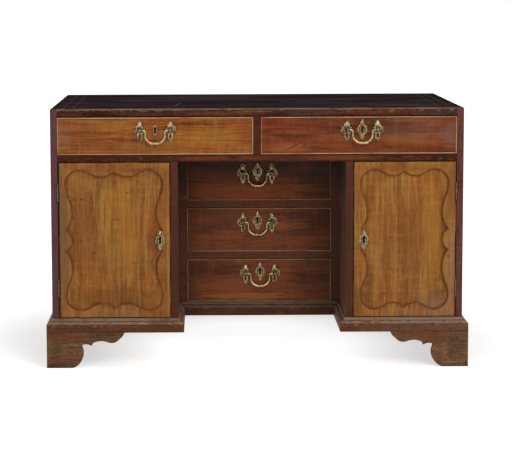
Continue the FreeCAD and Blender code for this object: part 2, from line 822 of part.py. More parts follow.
def door_outline(centre, half_width, dip_share):
    """The shaped opening: lobed corners, dips and cusps above and below, necks and cusps at the sides."""
    middle = number("door_middle")
    half_height = number("(door_top - door_bottom) / 2")
    lobe, radius = number("lobe_margin"), number("lobe_radius")
    cusp = (0, half_height - number("cusp_margin"))
    dip = (half_width * dip_share, half_height - number("dip_margin"))
    peak = (half_width - lobe - radius, half_height - lobe)
    flank = (half_width - lobe, half_height - lobe - radius)
    corner = (peak[0] + radius * math.sqrt(0.5), flank[1] + radius * math.sqrt(0.5))
    spur = (half_width - number("side_cusp_margin"), half_height * number("side_cusp_share"))
    waist = (spur[0] - half_height * number("neck_depth_share"), 0)
    neck = (waist[0], half_height * number("neck_share"))
    across, down = (1, 0), (0, -1)
    upper = [cusp, (*swing(dip, (-1, 0), cusp), *dip)]
    upper += ogee(dip, across, peak)
    upper.append((*corner, *flank))
    upper += ogee(flank, down, neck)
    upper.append((*swing(neck, down, spur), *spur))
    right = upper + [(*waist, spur[0], -spur[1])]
    right += reverse_steps([tuple(n if k % 2 == 0 else -n for k, n in enumerate(step)) for step in upper])
    left = reverse_steps(flip(right, 0))
    whole = right + left
    return [tuple(n + (centre if k % 2 == 0 else middle) for k, n in enumerate(step)) for step in whole]


def reverse_steps(outline):
    """The steps of an open outline taken the other way, without its last point."""
    ends = [step[-2:] for step in outline]
    back = []
    for k in range(len(outline) - 1, 0, -1):
        bulge = outline[k][:2] if len(outline[k]) == 4 else ()
        back.append((*bulge, *ends[k - 1]))
    return back


def parallel(outline, inset):
    """A closed clockwise outline of arcs moved inwards, its corners where the moved arcs meet."""
    arcs = []
    for here, step in zip(outline, outline[1:]):
        start, through, end = V(*here[-2:], 0), V(*step[:2], 0), V(*step[2:], 0)
        circle = Part.Arc(start, through, end).toShape().Curve
        turn = math.copysign(1, (through - start).cross(end - through).z)
        arcs.append((circle.Center, circle.Radius, turn, end))

    def meet(one, other):
        """The point near the end of one where the two moved arcs meet."""
        corner = one[3]
        ways = [(corner - centre) * (turn / radius) for centre, radius, turn, end in (one, other)]
        guess = corner + (ways[0] + ways[1]).normalize() * inset
        if ways[0].getAngle(ways[1]) < SMOOTH_ANGLE:
            return guess
        moved = [radius + turn * inset for centre, radius, turn, end in (one, other)]
        span = other[0] - one[0]
        along = (moved[0] ** 2 - moved[1] ** 2 + span.Length ** 2) / (2 * span.Length)
        up = math.sqrt(moved[0] ** 2 - along ** 2)
        foot = one[0] + span * (along / span.Length)
        side = V(-span.y, span.x, 0) * (up / span.Length)
        return min((foot + side, foot - side), key=lambda point: point.distanceToPoint(guess))

    corners = [meet(one, other) for one, other in zip(arcs, arcs[1:] + arcs[:1])]
    steps = [(corners[-1].x, corners[-1].y)]
    for (centre, radius, turn, end), start, stop in zip(arcs, corners[-1:] + corners, corners):
        middle = centre + ((start + stop) / 2 - centre).normalize() * (radius + turn * inset)
        steps.append((middle.x, middle.y, stop.x, stop.y))
    return steps


def make_door(name, hand, hinge_side, lock_side, dip_share, hinges, brass):
    """A door hung at hinge_side and locked at lock_side; hand is -1 for the left door, 1 for the right."""
    prefix = name.title().replace("_", "")
    inward = -hand
    hinge_edge = f"{hinge_side} + {inward} * door_gap"
    lock_edge = f"{lock_side} - {inward} * door_gap"
    x = between(hinge_edge, lock_edge)
    z = ("door_bottom", "door_top")
    centre = number(f"({x[0]} + {x[1]}) / 2")
    half = number(f"({x[1]} - ({x[0]})) / 2")
    keyed = {"x": f"{lock_edge} - {inward} * door_keyhole_inset", "y": "front", "z": "door_middle"}
    outline = door_outline(centre, half, number(dip_share))
    opening = sketch(prefix + "Opening", "front", outline)
    panel_blank = block(prefix + "PanelBlank", (f"{x[0]} + panel_margin", f"{x[1]} - panel_margin"),
                        ("front + panel_sink", "front + panel_sink + panel_thickness"),
                        ("door_bottom + panel_margin", "door_top - panel_margin"))
    rebate = block(prefix + "Rebate", (f"{x[0]} + panel_margin", f"{x[1]} - panel_margin"),
                   ("front + panel_sink", "door_back + overcut"),
                   ("door_bottom + panel_margin", "door_top - panel_margin"))
    window = pad(prefix + "Window", opening, "front", "front - overcut", "front + panel_sink + overcut")
    key_bore = placed(prefix + "KeyBore", brass["keyhole"], **keyed)
    mortises = hang(prefix + "Mortise", hinges["door_mortise"], hand)
    slab = block(prefix + "Slab", x, ("front", "door_back"), z)
    openings = joined(prefix + "Openings", window, rebate, key_bore, *mortises)
    frame = cut(prefix + "FrameBlank", slab, openings)
    depth = ("front - overcut", "door_back + overcut")
    rail_x = (f"{x[0]} + door_stile", f"{x[1]} - door_stile")
    members = {
        "LeftStile": ((x[0], rail_x[0]), z),
        "RightStile": ((rail_x[1], x[1]), z),
        "BottomRail": (rail_x, ("door_bottom", "door_middle")),
        "TopRail": (rail_x, ("door_middle", "door_top")),
    }
    pieces = []
    for member, (across, up) in members.items():
        zone = block(f"{prefix}{member}Zone", across, depth, up)
        pieces.append(common(prefix + member, frame, zone))
    node(name + "_frame", *pieces)
    node(name + "_panel", cut(prefix + "Panel", panel_blank, key_bore))

    edge = parallel(outline, number("shaped_bead_width"))
    strip = shaped(prefix + "BeadStrip", "front", "front - shaped_bead_projection", "front + panel_sink",
                   outline, edge)
    nose = number("front - shaped_bead_projection")
    bead = rounded(prefix + "Bead", strip, "shaped_bead_round", lambda point: abs(point.y - nose) < NEAR)
    seat = placed(prefix + "KeySeat", brass["key_seat"], **keyed)
    node(name + "_bead", cut(prefix + "TrimmedBead", bead, seat))
    node(name + "_escutcheon", placed(prefix + "Escutcheon", brass["escutcheon"], **keyed))
    node(name + "_hinge_leaves", *hang(prefix + "Leaf", hinges["door"], hand))

    # The lock is screwed to the back of the door, and its bolt shoots sideways into the kneehole wall
    case_y = ("door_back", "door_back + lock_depth")
    case_z = ("door_middle - lock_height / 2", "door_middle + lock_height / 2")
    bolt_y = ("door_back + bolt_cover", "door_back + bolt_cover + bolt_thickness")
    bolt_z = ("door_middle - bolt_width / 2", "door_middle + bolt_width / 2")
    tail = f"{lock_edge} - {inward} * (bolt_setback + bolt_length)"
    tip = f"{lock_edge} - {inward} * bolt_setback"
    run_x = between(f"{tail} - {inward} * bolt_clearance", f"{lock_edge} + {inward} * overcut")
    run = block(prefix + "BoltRun", run_x,
                (bolt_y[0] + " - bolt_clearance", bolt_y[1] + " + bolt_clearance"),
                (bolt_z[0] + " - bolt_clearance", bolt_z[1] + " + bolt_clearance"))
    plate_edge = f"{lock_edge} - {inward} * door_lock_inset"
    case_x = between(plate_edge, f"{plate_edge} - {inward} * door_lock_width")
    case = block(prefix + "LockBlank", case_x, case_y, case_z)
    node(name + "_lock", cut(prefix + "Lock", case, run))
    node(name + "_bolt", block(prefix + "Bolt", between(tail, tip), bolt_y, bolt_z))
    return block(prefix + "Mortise", between(lock_side, f"{lock_side} + {inward} * mortise_depth"),
                 (bolt_y[0] + " - mortise_clearance", bolt_y[1] + " + mortise_clearance"),
                 (bolt_z[0] + " - mortise_clearance", bolt_z[1] + " + mortise_clearance"))


# Base moulding and feet

def moulding_section():
    """The base moulding's section: distance out from the carcase, and height above the feet."""
    out, rise = number("base_projection"), number("moulding_height")
    fascia, quirk = number("fascia_height"), number("moulding_quirk")
    lip, fillet = number("moulding_top"), number("moulding_fillet")
    start, end = (out - quirk, fascia), (lip, rise - fillet)
    return [(0, 0), (out, 0), (out, fascia), start] + ogee(start, (0, 1), end) + [(lip, rise), (0, rise)]


def turn_section(section, origin, outward):
    """The section set against a face at origin, outward being 1 or -1 along the section's first axis."""
    base = number("foot_height")
    turned = []
    for step in section:
        turned.append(tuple(origin + outward * n if k % 2 == 0 else base + n for k, n in enumerate(step)))
    return turned


def make_moulding():
    """Seven mitred lengths: outer side, front and kneehole side of each pedestal, and the recess."""
    section = moulding_section()
    out = number("base_projection")
    half, front, back = number("half_width"), number("front"), number("back")
    left, right, recess = number("left_wall_in"), number("right_wall_in"), number("recess_front")
    left_front = [(-half, front), (-half - out, front - out)]
    left_knee = [(left, front), (left + out, front - out)]
    left_recess = [(left, recess), (left + out, recess - out)]
    right_recess = [(right, recess), (right - out, recess - out)]
    right_knee = [(right, front), (right - out, front - out)]
    right_front = [(half, front), (half + out, front - out)]
    runs = {
        "LeftOuter": ("y", -half, -1, left_front + [(-half - out, back), (-half, back)]),
        "LeftFront": ("x", front, -1, left_front + left_knee[::-1]),
        "LeftInner": ("y", left, 1, left_knee + left_recess[::-1]),
        "Recess": ("x", recess, -1, left_recess + right_recess[::-1]),
        "RightInner": ("y", right, -1, right_knee + right_recess[::-1]),
        "RightFront": ("x", front, -1, right_front + right_knee[::-1]),
        "RightOuter": ("y", half, 1, right_front + [(half + out, back), (half, back)]),
    }
    lengths = []
    for where, (along, origin, outward, mitre) in runs.items():
        drawn = turn_section(section, origin, outward)
        if along == "x":
            run = shaped(where + "Run", "side", "-foot_outside", "foot_outside", drawn)
        else:
            run = shaped(where + "Run", "front", "foot_front", "back", drawn)
        plan = shaped(where + "Mitre", "plan", "foot_height", "floor_top", mitre)
        lengths.append(common(where + "Moulding", run, plan))
    node("base_moulding", *lengths)


def bracket_outline():
    """A shaped foot bracket from its outer corner: bulging foot, cusped spandrel and lobed wing."""
    high, length = number("foot_height"), number("bracket_length")
    knee, drop = number("knee_reach"), number("wing_drop")
    wing = length - knee

    def at(along, down):
        return (knee + along * wing, high - down * drop)

    return [
        (0, 0),
        (number("foot_toe"), 0),
        (number("foot_bulge"), number("bulge_height"), *at(0, 0.97)),
        (*at(0.12, 0.86), *at(0.245, 1)),
        (*at(0.275, 0.8), *at(0.335, 0.69)),
        (*at(0.48, 0.63), *at(0.61, 0.71)),
        (*at(0.75, 0.76), *at(0.885, 0.48)),
        (*at(0.96, 0.26), *at(1, 0)),
        (0, high),
    ]


def make_feet():
    """Mitred shaped brackets at the front, shaped side and plain back brackets behind, corner blocks."""
    outline = bracket_outline()
    thick, length = number("bracket_thickness"), number("bracket_length")
    corner, face, back = number("-foot_outside"), number("foot_front"), number("back")
    height = ("0", "foot_height")
    inside = (corner + thick, face + thick)
    front_run = shaped("FrontBracketRun", "front", "foot_front", "foot_front + bracket_thickness",
                       [tuple(n + corner if k % 2 == 0 else n for k, n in enumerate(s)) for s in outline])
    front_mitre = [(corner, face), (corner + length, face), (corner + length, inside[1]), inside]
    side_run = shaped("SideBracketRun", "side", "-foot_outside", "-foot_outside + bracket_thickness",
                      [tuple(n + face if k % 2 == 0 else n for k, n in enumerate(s)) for s in outline])
    side_mitre = [(corner, face), (corner, face + length), (inside[0], face + length), inside]
    rear_side = shaped("RearSideBracket", "side", "-foot_outside", "-foot_outside + bracket_thickness",
                       [tuple(back - n if k % 2 == 0 else n for k, n in enumerate(s)) for s in outline])
    toe, reach = number("foot_toe"), number("back_bracket_length")
    plain = [(inside[0], 0), (inside[0] + toe, 0), (inside[0] + reach, number("foot_height")),
             (inside[0], number("foot_height"))]
    block_x = ("-foot_outside + bracket_thickness", "-foot_outside + bracket_thickness + corner_block")
    block_z = ("block_lift", "foot_height")
    near, far = "foot_front + bracket_thickness", "back - bracket_thickness"
    left = [
        common("FrontBracket", front_run, shaped("FrontBracketMitre", "plan", *height, front_mitre)),
        common("SideBracket", side_run, shaped("SideBracketMitre", "plan", *height, side_mitre)),
        rear_side,
        shaped("RearBracket", "front", "back - bracket_thickness", "back", plain),
        block("FrontBlock", block_x, (near, near + " + corner_block"), block_z),
        block("RearBlock", block_x, (far + " - corner_block", far), block_z),
    ]
    right = [mirrored("Right" + piece.Name, piece) for piece in left]
    node("bracket_feet", *left, *right)


# Carcase

def make_side(hinges):
    """The left outer side, housed for the boards that meet it, and its mirror on the right."""
    face = "-inner_half"
    x = ("-half_width", face)
    sunk = ("-inner_half - housing_depth", face)
    blank = block("SideBlank", x, ("front", "back"), ("foot_height", "desk_height"))
    top = number("desk_height")
    outer = number("-half_width")
    soft = rounded("SideSoft", blank, "arris_radius",
                   lambda point: abs(point.z - top) < NEAR and abs(point.x - outer) < NEAR)
    tools = [
        block("FloorHousing", sunk, ("front", "back_inside"), ("floor_underside", "floor_top")),
        block("DustHousing", sunk, ("front + rail_depth", "back_inside"), ("rail_bottom", "rail_top")),
        block("TopGroove", sunk, ("front + tenon_length", "back_inside"), top_tongue_height()),
        block("SideRebate", ("-inner_half - back_rebate", face), ("back_inside", "back"),
              ("foot_height", "top_underside")),
        block("RailMortise", ("-inner_half - tenon_length", face), *rail_tenon()),
    ]
    tools += hang("SideMortise", hinges["side_mortise"], -1)
    left = cut("LeftSide", soft, *tools)
    node("left_side", left)
    node("right_side", mirrored("RightSide", left))


def top_tongue_height():
    return ("top_underside + tenon_inset", "top_underside + tenon_inset + tongue_thickness")


def rail_tenon():
    """The depth and height of the tenons at the ends of the drawer rail."""
    return (("front + tenon_length", "front + rail_depth - tenon_length"),
            ("rail_bottom + tenon_inset", "rail_top - tenon_inset"))


def muntin_tenon(low, high):
    across = ("-muntin_width / 2 + tenon_inset", "muntin_width / 2 - tenon_inset")
    depth = ("front + tenon_length", "front + rail_depth - tenon_length")
    return block(f"MuntinTenon{len(doc.Objects)}", across, depth, (low, high))


def make_top(mortises):
    """The top board between the sides, tongued into them, sunk for the leather, and the leather."""
    across = ("-inner_half", "inner_half")
    blank = block("TopBlank", across, ("front", "back"), ("top_underside", "desk_height"))
    top, face = number("desk_height"), number("front")
    soft = rounded("TopSoft", blank, "arris_radius",
                   lambda point: abs(point.z - top) < NEAR and abs(point.y - face) < NEAR)
    tongue_y = ("front + tenon_length", "back_inside")
    tongues = [
        block("LeftTongue", ("-inner_half - housing_depth", "-inner_half"), tongue_y, top_tongue_height()),
        block("RightTongue", ("inner_half", "inner_half + housing_depth"), tongue_y, top_tongue_height()),
    ]
    lining_y = ("front + leather_border", "back - leather_border")
    lining_z = ("desk_height - leather_thickness", "desk_height")
    leather = block("Leather", across, lining_y, lining_z)
    stub = muntin_tenon("top_underside", "top_underside + tenon_length")
    node("desk_top", cut("TopBoard", joined("TopWhole", soft, *tongues), leather, stub, *mortises))
    node("writing_leather", leather)


def make_front_rails():
    """The rail below the top drawers, tenoned into the sides, and the muntin between the drawers."""
    tenon_y, tenon_z = rail_tenon()
    rail = block("RailBlank", ("-inner_half", "inner_half"), ("front", "front + rail_depth"),
                 ("rail_bottom", "rail_top"))
    tenons = [
        block("LeftTenon", ("-inner_half - tenon_length", "-inner_half"), tenon_y, tenon_z),
        block("RightTenon", ("inner_half", "inner_half + tenon_length"), tenon_y, tenon_z),
    ]
    lower = muntin_tenon("rail_top - tenon_length", "rail_top")
    upper = muntin_tenon("top_underside", "top_underside + tenon_length")
    post = block("MuntinPost", ("-muntin_width / 2", "muntin_width / 2"), ("front", "front + rail_depth"),
                 ("rail_top", "top_underside"))
    drawer_rail = cut("DrawerRail", joined("RailWhole", rail, *tenons), lower)
    node("front_rails", drawer_rail, joined("Muntin", post, lower, upper))


def drawer_stops(prefix, x, face, height):
    """Two stops behind a drawer front, low enough to pass under the drawer's bottom."""
    y = (f"{face} + front_thickness", f"{face} + front_thickness + stop_width")
    z = (height, f"{height} + stop_height")
    return [
        block(prefix + "LeftStop", (f"{x[0]} + stop_inset", f"{x[0]} + stop_inset + stop_length"), y, z),
        block(prefix + "RightStop", (f"{x[1]} - stop_inset - stop_length", f"{x[1]} - stop_inset"), y, z),
    ]


def make_upper_dustboard():
    board = block("Dustboard", ("-inner_half - housing_depth", "inner_half + housing_depth"),
                  ("front + rail_depth", "back_inside"), ("rail_bottom", "rail_top"))
    guide = block("CentreGuide", ("-muntin_width / 2", "muntin_width / 2"),
                  ("front + rail_depth", "back_inside"), ("rail_top", "rail_top + guide_height"))
    stops = drawer_stops("LeftDrawer", LEFT_BAY, "front", "rail_top")
    stops += drawer_stops("RightDrawer", RIGHT_BAY, "front", "rail_top")
    node("upper_dustboard", board, guide, *stops)


BACK_BOARD_COUNT = 4


def make_back():
    """Horizontal boards that fill the rebates behind the carcase."""
    across = ("-inner_half - back_rebate", "inner_half + back_rebate")
    share = f"(top_underside - foot_height) / {BACK_BOARD_COUNT}"
    boards = []
    for k in range(BACK_BOARD_COUNT):
        height = (f"foot_height + {k} * {share}", f"foot_height + {k + 1} * {share}")
        boards.append(block(f"BackBoard{k}", across, ("back_inside", "back"), height))
    node("back_boards", *boards)


PEDESTALS = {
    "left": {"hand": -1, "side": "-inner_half", "wall_out": "left_wall_out", "wall_in": "left_wall_in"},
    "right": {"hand": 1, "side": "inner_half", "wall_out": "right_wall_out", "wall_in": "right_wall_in"},
}


def make_walls(bolt_mortises):
    """The kneehole walls, housed on both faces, with a mortise for the door's bolt."""
    for name, place in PEDESTALS.items():
        hand, inner, outer = place["hand"], place["wall_in"], place["wall_out"]
        title = name.title()
        outer_sunk = between(outer, f"{outer} - {hand} * housing_depth")
        inner_sunk = between(inner, f"{inner} + {hand} * housing_depth")
        floor_z = ("floor_underside", "floor_top")
        blank = block(title + "WallBlank", between(inner, outer), ("front", "back_inside"),
                      ("foot_height", "rail_bottom"))
        tools = [
            block(title + "OuterHousing", outer_sunk, ("front", "back_inside"), floor_z),
            block(title + "InnerHousing", inner_sunk, ("recess_front", "back_inside"), floor_z),
            bolt_mortises[name],
        ]
        for tier in ("middle", "lower"):
            heights = (f"{tier}_top", f"{tier}_top + kneehole_rail")
            tools.append(block(f"{title}{tier.title()}Housing", inner_sunk,
                               ("recess_back", "back_inside"), heights))
        node(name + "_kneehole_wall", cut(title + "Wall", blank, *tools))


def make_floors():
    floor_z = ("floor_underside", "floor_top")
    boards = []
    for name, place in PEDESTALS.items():
        hand = place["hand"]
        ends = between(f"{place['side']} + {hand} * housing_depth",
                       f"{place['wall_out']} - {hand} * housing_depth")
        boards.append(block(name.title() + "Floor", ends, ("front", "back_inside"), floor_z))
    ends = ("left_wall_in - housing_depth", "right_wall_in + housing_depth")
    boards.append(block("KneeholeFloor", ends, ("recess_front", "back_inside"), floor_z))
    node("cupboard_floors", *boards)


def make_shelves():
    """One shelf in each cupboard, on a bearer at each end."""
    depth = ("front + shelf_setback", "back_inside")
    pieces = []
    for name, place in PEDESTALS.items():
        hand, title = place["hand"], name.title()
        shelf_z = ("shelf_bottom", "shelf_bottom + shelf_thickness")
        pieces.append(block(title + "Shelf", between(place["side"], place["wall_out"]), depth, shelf_z))
        bearer_z = ("shelf_bottom - bearer_size", "shelf_bottom")
        outer = between(place["side"], f"{place['side']} - {hand} * bearer_size")
        inner = between(place["wall_out"], f"{place['wall_out']} + {hand} * bearer_size")
        pieces.append(block(title + "OuterBearer", outer, depth, bearer_z))
        pieces.append(block(title + "InnerBearer", inner, depth, bearer_z))
    node("cupboard_shelves", *pieces)


def make_kneehole_frame(mortises):
    """Two stiles and three rails round the kneehole drawers, mortised for the locks below them."""
    depth = ("recess_front", "recess_back")
    upright = ("floor_top", "rail_bottom")
    stiles = [
        block("LeftStile", ("left_wall_in", "left_wall_in + kneehole_stile"), depth, upright),
        block("RightStile", ("right_wall_in - kneehole_stile", "right_wall_in"), depth, upright),
    ]
    rails = []
    for tier, mortise in mortises.items():
        heights = (f"{tier}_top", f"{tier}_top + kneehole_rail")
        blank = block(tier.title() + "RailBlank", KNEEHOLE_BAY, depth, heights)
        rails.append(cut(tier.title() + "Rail", blank, mortise))
    node("kneehole_frame", *stiles, *rails)


KNEEHOLE_TIERS = {"upper": "upper_floor", "middle": "middle_floor", "lower": "floor_top"}


def make_kneehole_dustboards():
    """Dustboards between the kneehole drawers, side guides, kickers over the upper drawer, and stops."""
    depth = ("recess_back", "back_inside")
    ends = ("left_wall_in - housing_depth", "right_wall_in + housing_depth")
    pieces = []
    for tier in ("middle", "lower"):
        heights = (f"{tier}_top", f"{tier}_top + kneehole_rail")
        pieces.append(block(tier.title() + "Dustboard", ends, depth, heights))
    sides = {
        "Left": ("left_wall_in", "left_wall_in + kneehole_stile", "left_wall_in + kicker_width"),
        "Right": ("right_wall_in", "right_wall_in - kneehole_stile", "right_wall_in - kicker_width"),
    }
    for side, (wall, guide_edge, kicker_edge) in sides.items():
        kicker_z = ("upper_top", "rail_bottom")
        pieces.append(block(side + "Kicker", between(wall, kicker_edge), depth, kicker_z))
        for tier, running in KNEEHOLE_TIERS.items():
            heights = (running, f"{running} + guide_height")
            pieces.append(block(f"{side}{tier.title()}Guide", between(wall, guide_edge), depth, heights))
    for tier, running in KNEEHOLE_TIERS.items():
        pieces += drawer_stops(tier.title(), KNEEHOLE_BAY, "recess_front", running)
    node("kneehole_dustboards", *pieces)


LEFT_BAY = ("-inner_half", "-muntin_width / 2")
RIGHT_BAY = ("muntin_width / 2", "inner_half")
KNEEHOLE_BAY = ("left_wall_in + kneehole_stile", "right_wall_in - kneehole_stile")


def build():
    left_hinges = make_hinges()
    right_hinges = make_right_hinges(left_hinges)
    keyhole = make_keyhole()
    left_plate = make_plate()
    brass = {
        "keyhole": keyhole,
        "left_plate": left_plate,
        "right_plate": mirrored("RightPlate", left_plate),
        "post": make_post(),
        "nut": make_nut(),
        "bail": make_bail(),
        "escutcheon": make_escutcheon(keyhole),
        "liner": make_liner(keyhole),
        "key_seat": make_key_seat(),
        "lock": make_drawer_lock(),
    }

    def top_drawer(name, bay, offset, key_plate):
        return make_drawer(name, bay, "rail_top", "top_underside", "front", "top_drawer_length",
                           "top_handle_depth", "0", offset, key_plate, brass)

    def kneehole_drawer(tier, handle_depth, offset):
        return make_drawer(tier + "_kneehole_drawer", KNEEHOLE_BAY, KNEEHOLE_TIERS[tier], f"{tier}_top",
                           "recess_front", "kneehole_drawer_length", handle_depth, "kneehole_keyhole_rise",
                           offset, "escutcheon", brass)

    top_mortises = [
        top_drawer("left_drawer", LEFT_BAY, "0", "liner"),
        top_drawer("right_drawer", RIGHT_BAY, "right_handle_offset", "escutcheon"),
    ]
    rail_mortises = {
        "upper": kneehole_drawer("upper", "top_handle_depth", "upper_handle_offset"),
        "middle": kneehole_drawer("middle", "kneehole_handle_depth", "upper_handle_offset"),
        "lower": kneehole_drawer("lower", "kneehole_handle_depth", "lower_handle_offset"),
    }
    bolt_mortises = {
        "left": make_door("left_door", -1, "-inner_half", "left_wall_out", "left_dip_share",
                          left_hinges, brass),
        "right": make_door("right_door", 1, "inner_half", "right_wall_out", "right_dip_share",
                           right_hinges, brass),
    }
    make_side(left_hinges)
    make_top(top_mortises)
    make_front_rails()
    make_upper_dustboard()
    make_back()
    make_walls(bolt_mortises)
    make_floors()
    make_shelves()
    make_kneehole_frame(rail_mortises)
    make_kneehole_dustboards()
    make_moulding()
    make_feet()
    fixed = hang("LeftFixed", left_hinges["fixed"], -1) + hang("RightFixed", right_hinges["fixed"], 1)
    pins = hang("LeftPin", left_hinges["pin"], -1) + hang("RightPin", right_hinges["pin"], 1)
    node("hinge_leaves", *fixed, *pins)


def check():
    doc.recompute()
    for thing in doc.Objects:
        if {"Invalid", "Error"} & set(thing.State):
            raise RuntimeError(f"{thing.Name} failed: {thing.State}")
    for name, piece in nodes.items():
        shape = piece.Shape
        if shape.isNull() or not shape.isValid() or not shape.Solids:
            raise RuntimeError(f"{name} has no sound solid")


def write():
    os.makedirs("parts", exist_ok=True)
    for name, piece in nodes.items():
        Part.makeCompound(piece.Shape.Solids).exportStep(f"parts/{name}.step")


build()
check()
write()
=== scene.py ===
import math

import bmesh
import bpy
from mathutils import Matrix, Vector


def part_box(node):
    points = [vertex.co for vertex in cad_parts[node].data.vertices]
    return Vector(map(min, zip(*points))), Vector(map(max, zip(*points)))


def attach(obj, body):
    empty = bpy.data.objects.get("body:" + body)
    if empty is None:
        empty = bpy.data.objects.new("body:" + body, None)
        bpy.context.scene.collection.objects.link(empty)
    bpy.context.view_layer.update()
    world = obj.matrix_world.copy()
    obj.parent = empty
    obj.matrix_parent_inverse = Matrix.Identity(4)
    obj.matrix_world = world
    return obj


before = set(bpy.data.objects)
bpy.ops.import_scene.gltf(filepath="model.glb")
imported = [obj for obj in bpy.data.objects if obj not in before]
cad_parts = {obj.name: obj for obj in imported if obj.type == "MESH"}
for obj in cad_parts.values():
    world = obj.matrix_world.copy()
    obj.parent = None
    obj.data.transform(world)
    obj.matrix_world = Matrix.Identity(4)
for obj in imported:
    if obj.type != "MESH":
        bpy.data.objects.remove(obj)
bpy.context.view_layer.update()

bl_info = {
    "name": "Kneehole Desk Finish",
    "version": (1, 0, 0),
    "blender": (4, 5, 0),
    "location": "View3D > Sidebar > Desk",
    "description": "Gives the kneehole desk its mahogany, leather and brass, and sets it in a studio",
    "category": "Object",
}

MM = 0.001
DRAWERS = ("left_drawer", "right_drawer", "upper_kneehole_drawer", "middle_kneehole_drawer",
           "lower_kneehole_drawer")
DOORS = ("left_door", "right_door")
# Slope of the crack across the right drawer, turned about Y
CRACK_ANGLE = math.radians(-27.7)
# Middle and slant of the scratch on the leather
SCRATCH_PLACE = (-0.24, -0.135, 0)
SCRATCH_TURN = math.radians(-7)
# Distances of the leather's tooled lines from each end, in millimetres
TOOLED_LINES = (17, 48)
# Half width and half height of the grime and painted shade round handle plates and key plates, in millimetres
HANDLE_GRIME_AND_SHADE = (19, 34)
KEY_GRIME_AND_SHADE = (14, 38)
# How far a cockbead stands proud of its drawer's face
COCKBEAD_PROUD = 2.5 * MM
# The material of the castings in each slot
CASTINGS = {"brass": "brass_cast_rubbed", "lock_iron": "iron_lock_work"}
# Points of a casting that are closer than this are merged
MERGE_DISTANCE = 0.02 * MM
# Heading of a scroll that runs straight down
DOWN = math.radians(-90)
# Girth of the short leaf tips on the brasses, from root to point, in millimetres
TIP = (1.3, 1.2, 0.8, 0.2)
# Half widths of a screw's slot at its floor and rim, as shares of the head's radius
SLOT_FLOOR, SLOT_RIM = 0.12, 0.16
# Half the floor's width in metres
FLOOR_HALF = 40


def linear(code):
    """A colour written as sRGB hex, as the linear values that Blender works in."""
    parts = [int(code[k:k + 2], 16) / 255 for k in (1, 3, 5)]
    return tuple(p / 12.92 if p <= 0.04045 else ((p + 0.055) / 1.055) ** 2.4 for p in parts)


def tone(name, description, code):
    return bpy.props.FloatVectorProperty(name=name, description=description, subtype="COLOR", size=3,
                                         min=0, max=1, default=linear(code))


def amount(name, description, default, **kind):
    return bpy.props.FloatProperty(name=name, description=description, default=default, **kind)


def length(name, description, millimetres):
    return amount(name, description, millimetres * MM, unit="LENGTH", min=0)


class DeskFinishes(bpy.types.PropertyGroup):
    """Colours of the desk's materials."""
    show_wood: tone("Rails", "Dark mahogany of the front rails", "#401d11")
    show_streak: tone("Carcase streak", "Redder streak of the carcase", "#562a1b")
    top_edge: tone("Top edge", "Greyed front edge of the top", "#4e352f")
    side_wood: tone("Sides", "Red brown of the two sides", "#684036")
    side_edge: tone("Left edge", "Purple brown of the left side's front edge", "#664447")
    left_front: tone("Left drawer", "Faded gold of the left drawer", "#9b602a")
    left_streak: tone("Left drawer streak", "Redder streak of the left drawer", "#744019")
    right_front: tone("Right drawer", "Redder wood of the right drawer", "#7b3a1d")
    right_streak: tone("Right drawer streak", "Dark streak of the right drawer", "#53290f")
    wall_wood: tone("Kneehole walls", "Brown of the kneehole walls", "#4c2818")
    inner_rail: tone("Kneehole rails", "Brown of the rails in the kneehole", "#573220")
    inner_front: tone("Kneehole drawers", "Deep red of the kneehole drawers", "#743e22")
    inner_streak: tone("Kneehole streak", "Dark streak of the kneehole drawers", "#4a2514")
    door_wood: tone("Doors", "Faded gold of the doors", "#a37134")
    door_streak: tone("Door streak", "Brown streak of the doors", "#75431d")
    door_bead: tone("Door bead", "Darker brown of the shaped beads", "#80522b")
    # On the cockbeads this pale is partly a painted highlight
    bead_wood: tone("Cockbead", "Pale worn nose of the cockbeads", "#c2a074")
    base_wood: tone("Base moulding", "Reddish wood of the base moulding", "#653c24")
    foot_wood: tone("Feet", "Dull rubbed wood of the feet", "#715238")
    base_streak: tone("Base streak", "Brown streak of the moulding and feet", "#513523")
    gold: tone("Gold patch", "Sun-faded golden patches", "#ab762d")
    # Laid also as painted shade: at the ends of the kneehole drawers, under the moulding's lips and in the
    # kneehole recess
    rub: tone("Rub", "Red wood where the polish is rubbed", "#7c401f")
    stain_and_shade: tone("Stain", "Ink, burns and old dark polish", "#2b160c")
    # Laid as painted shadow in the doors' gaps and high in the kneehole, as grime with painted shade round
    # the brasses, and in the back boards' joints
    grime_and_shade: tone("Soot", "Black of the doors' gaps and deep corners", "#0d0806")
    bloom: tone("Bloom", "Grey dust on ledges and worn arrises", "#8a6e5b")
    oak: tone("Oak", "Drawer linings and unseen boards", "#9c7a4e")
    oak_streak: tone("Oak streak", "Darker grain of the oak", "#77572f")
    # Also laid as painted shadow high in the kneehole and on the upper kneehole drawer
    hide: tone("Leather", "Near black hide of the top", "#302628")
    hide_rub: tone("Leather rub", "Brown rub on the hide", "#4c3d3c")
    # The brass is given a painted highlight where it faces the front and painted glints, and painted shade on
    # its slopes and in its hollows besides its tarnish
    brass: tone("Brass", "Rubbed brass of the bails and ornament", "#9f8c68")
    brass_dull: tone("Dull brass", "Olive brass on the ornament's slopes", "#6d5f40")
    brass_plate: tone("Brass plates", "Tarnished brass under the ornament", "#746648")
    brass_shade: tone("Brass tarnish", "Dark hollows of the brass", "#1d160b")
    hinge: tone("Hinges", "Blackened brass of the hinges", "#5d5643")
    iron: tone("Iron", "Lock cases and bolts", "#2c2926")
    rust: tone("Rust", "Specks of rust on the iron", "#5e3d28")


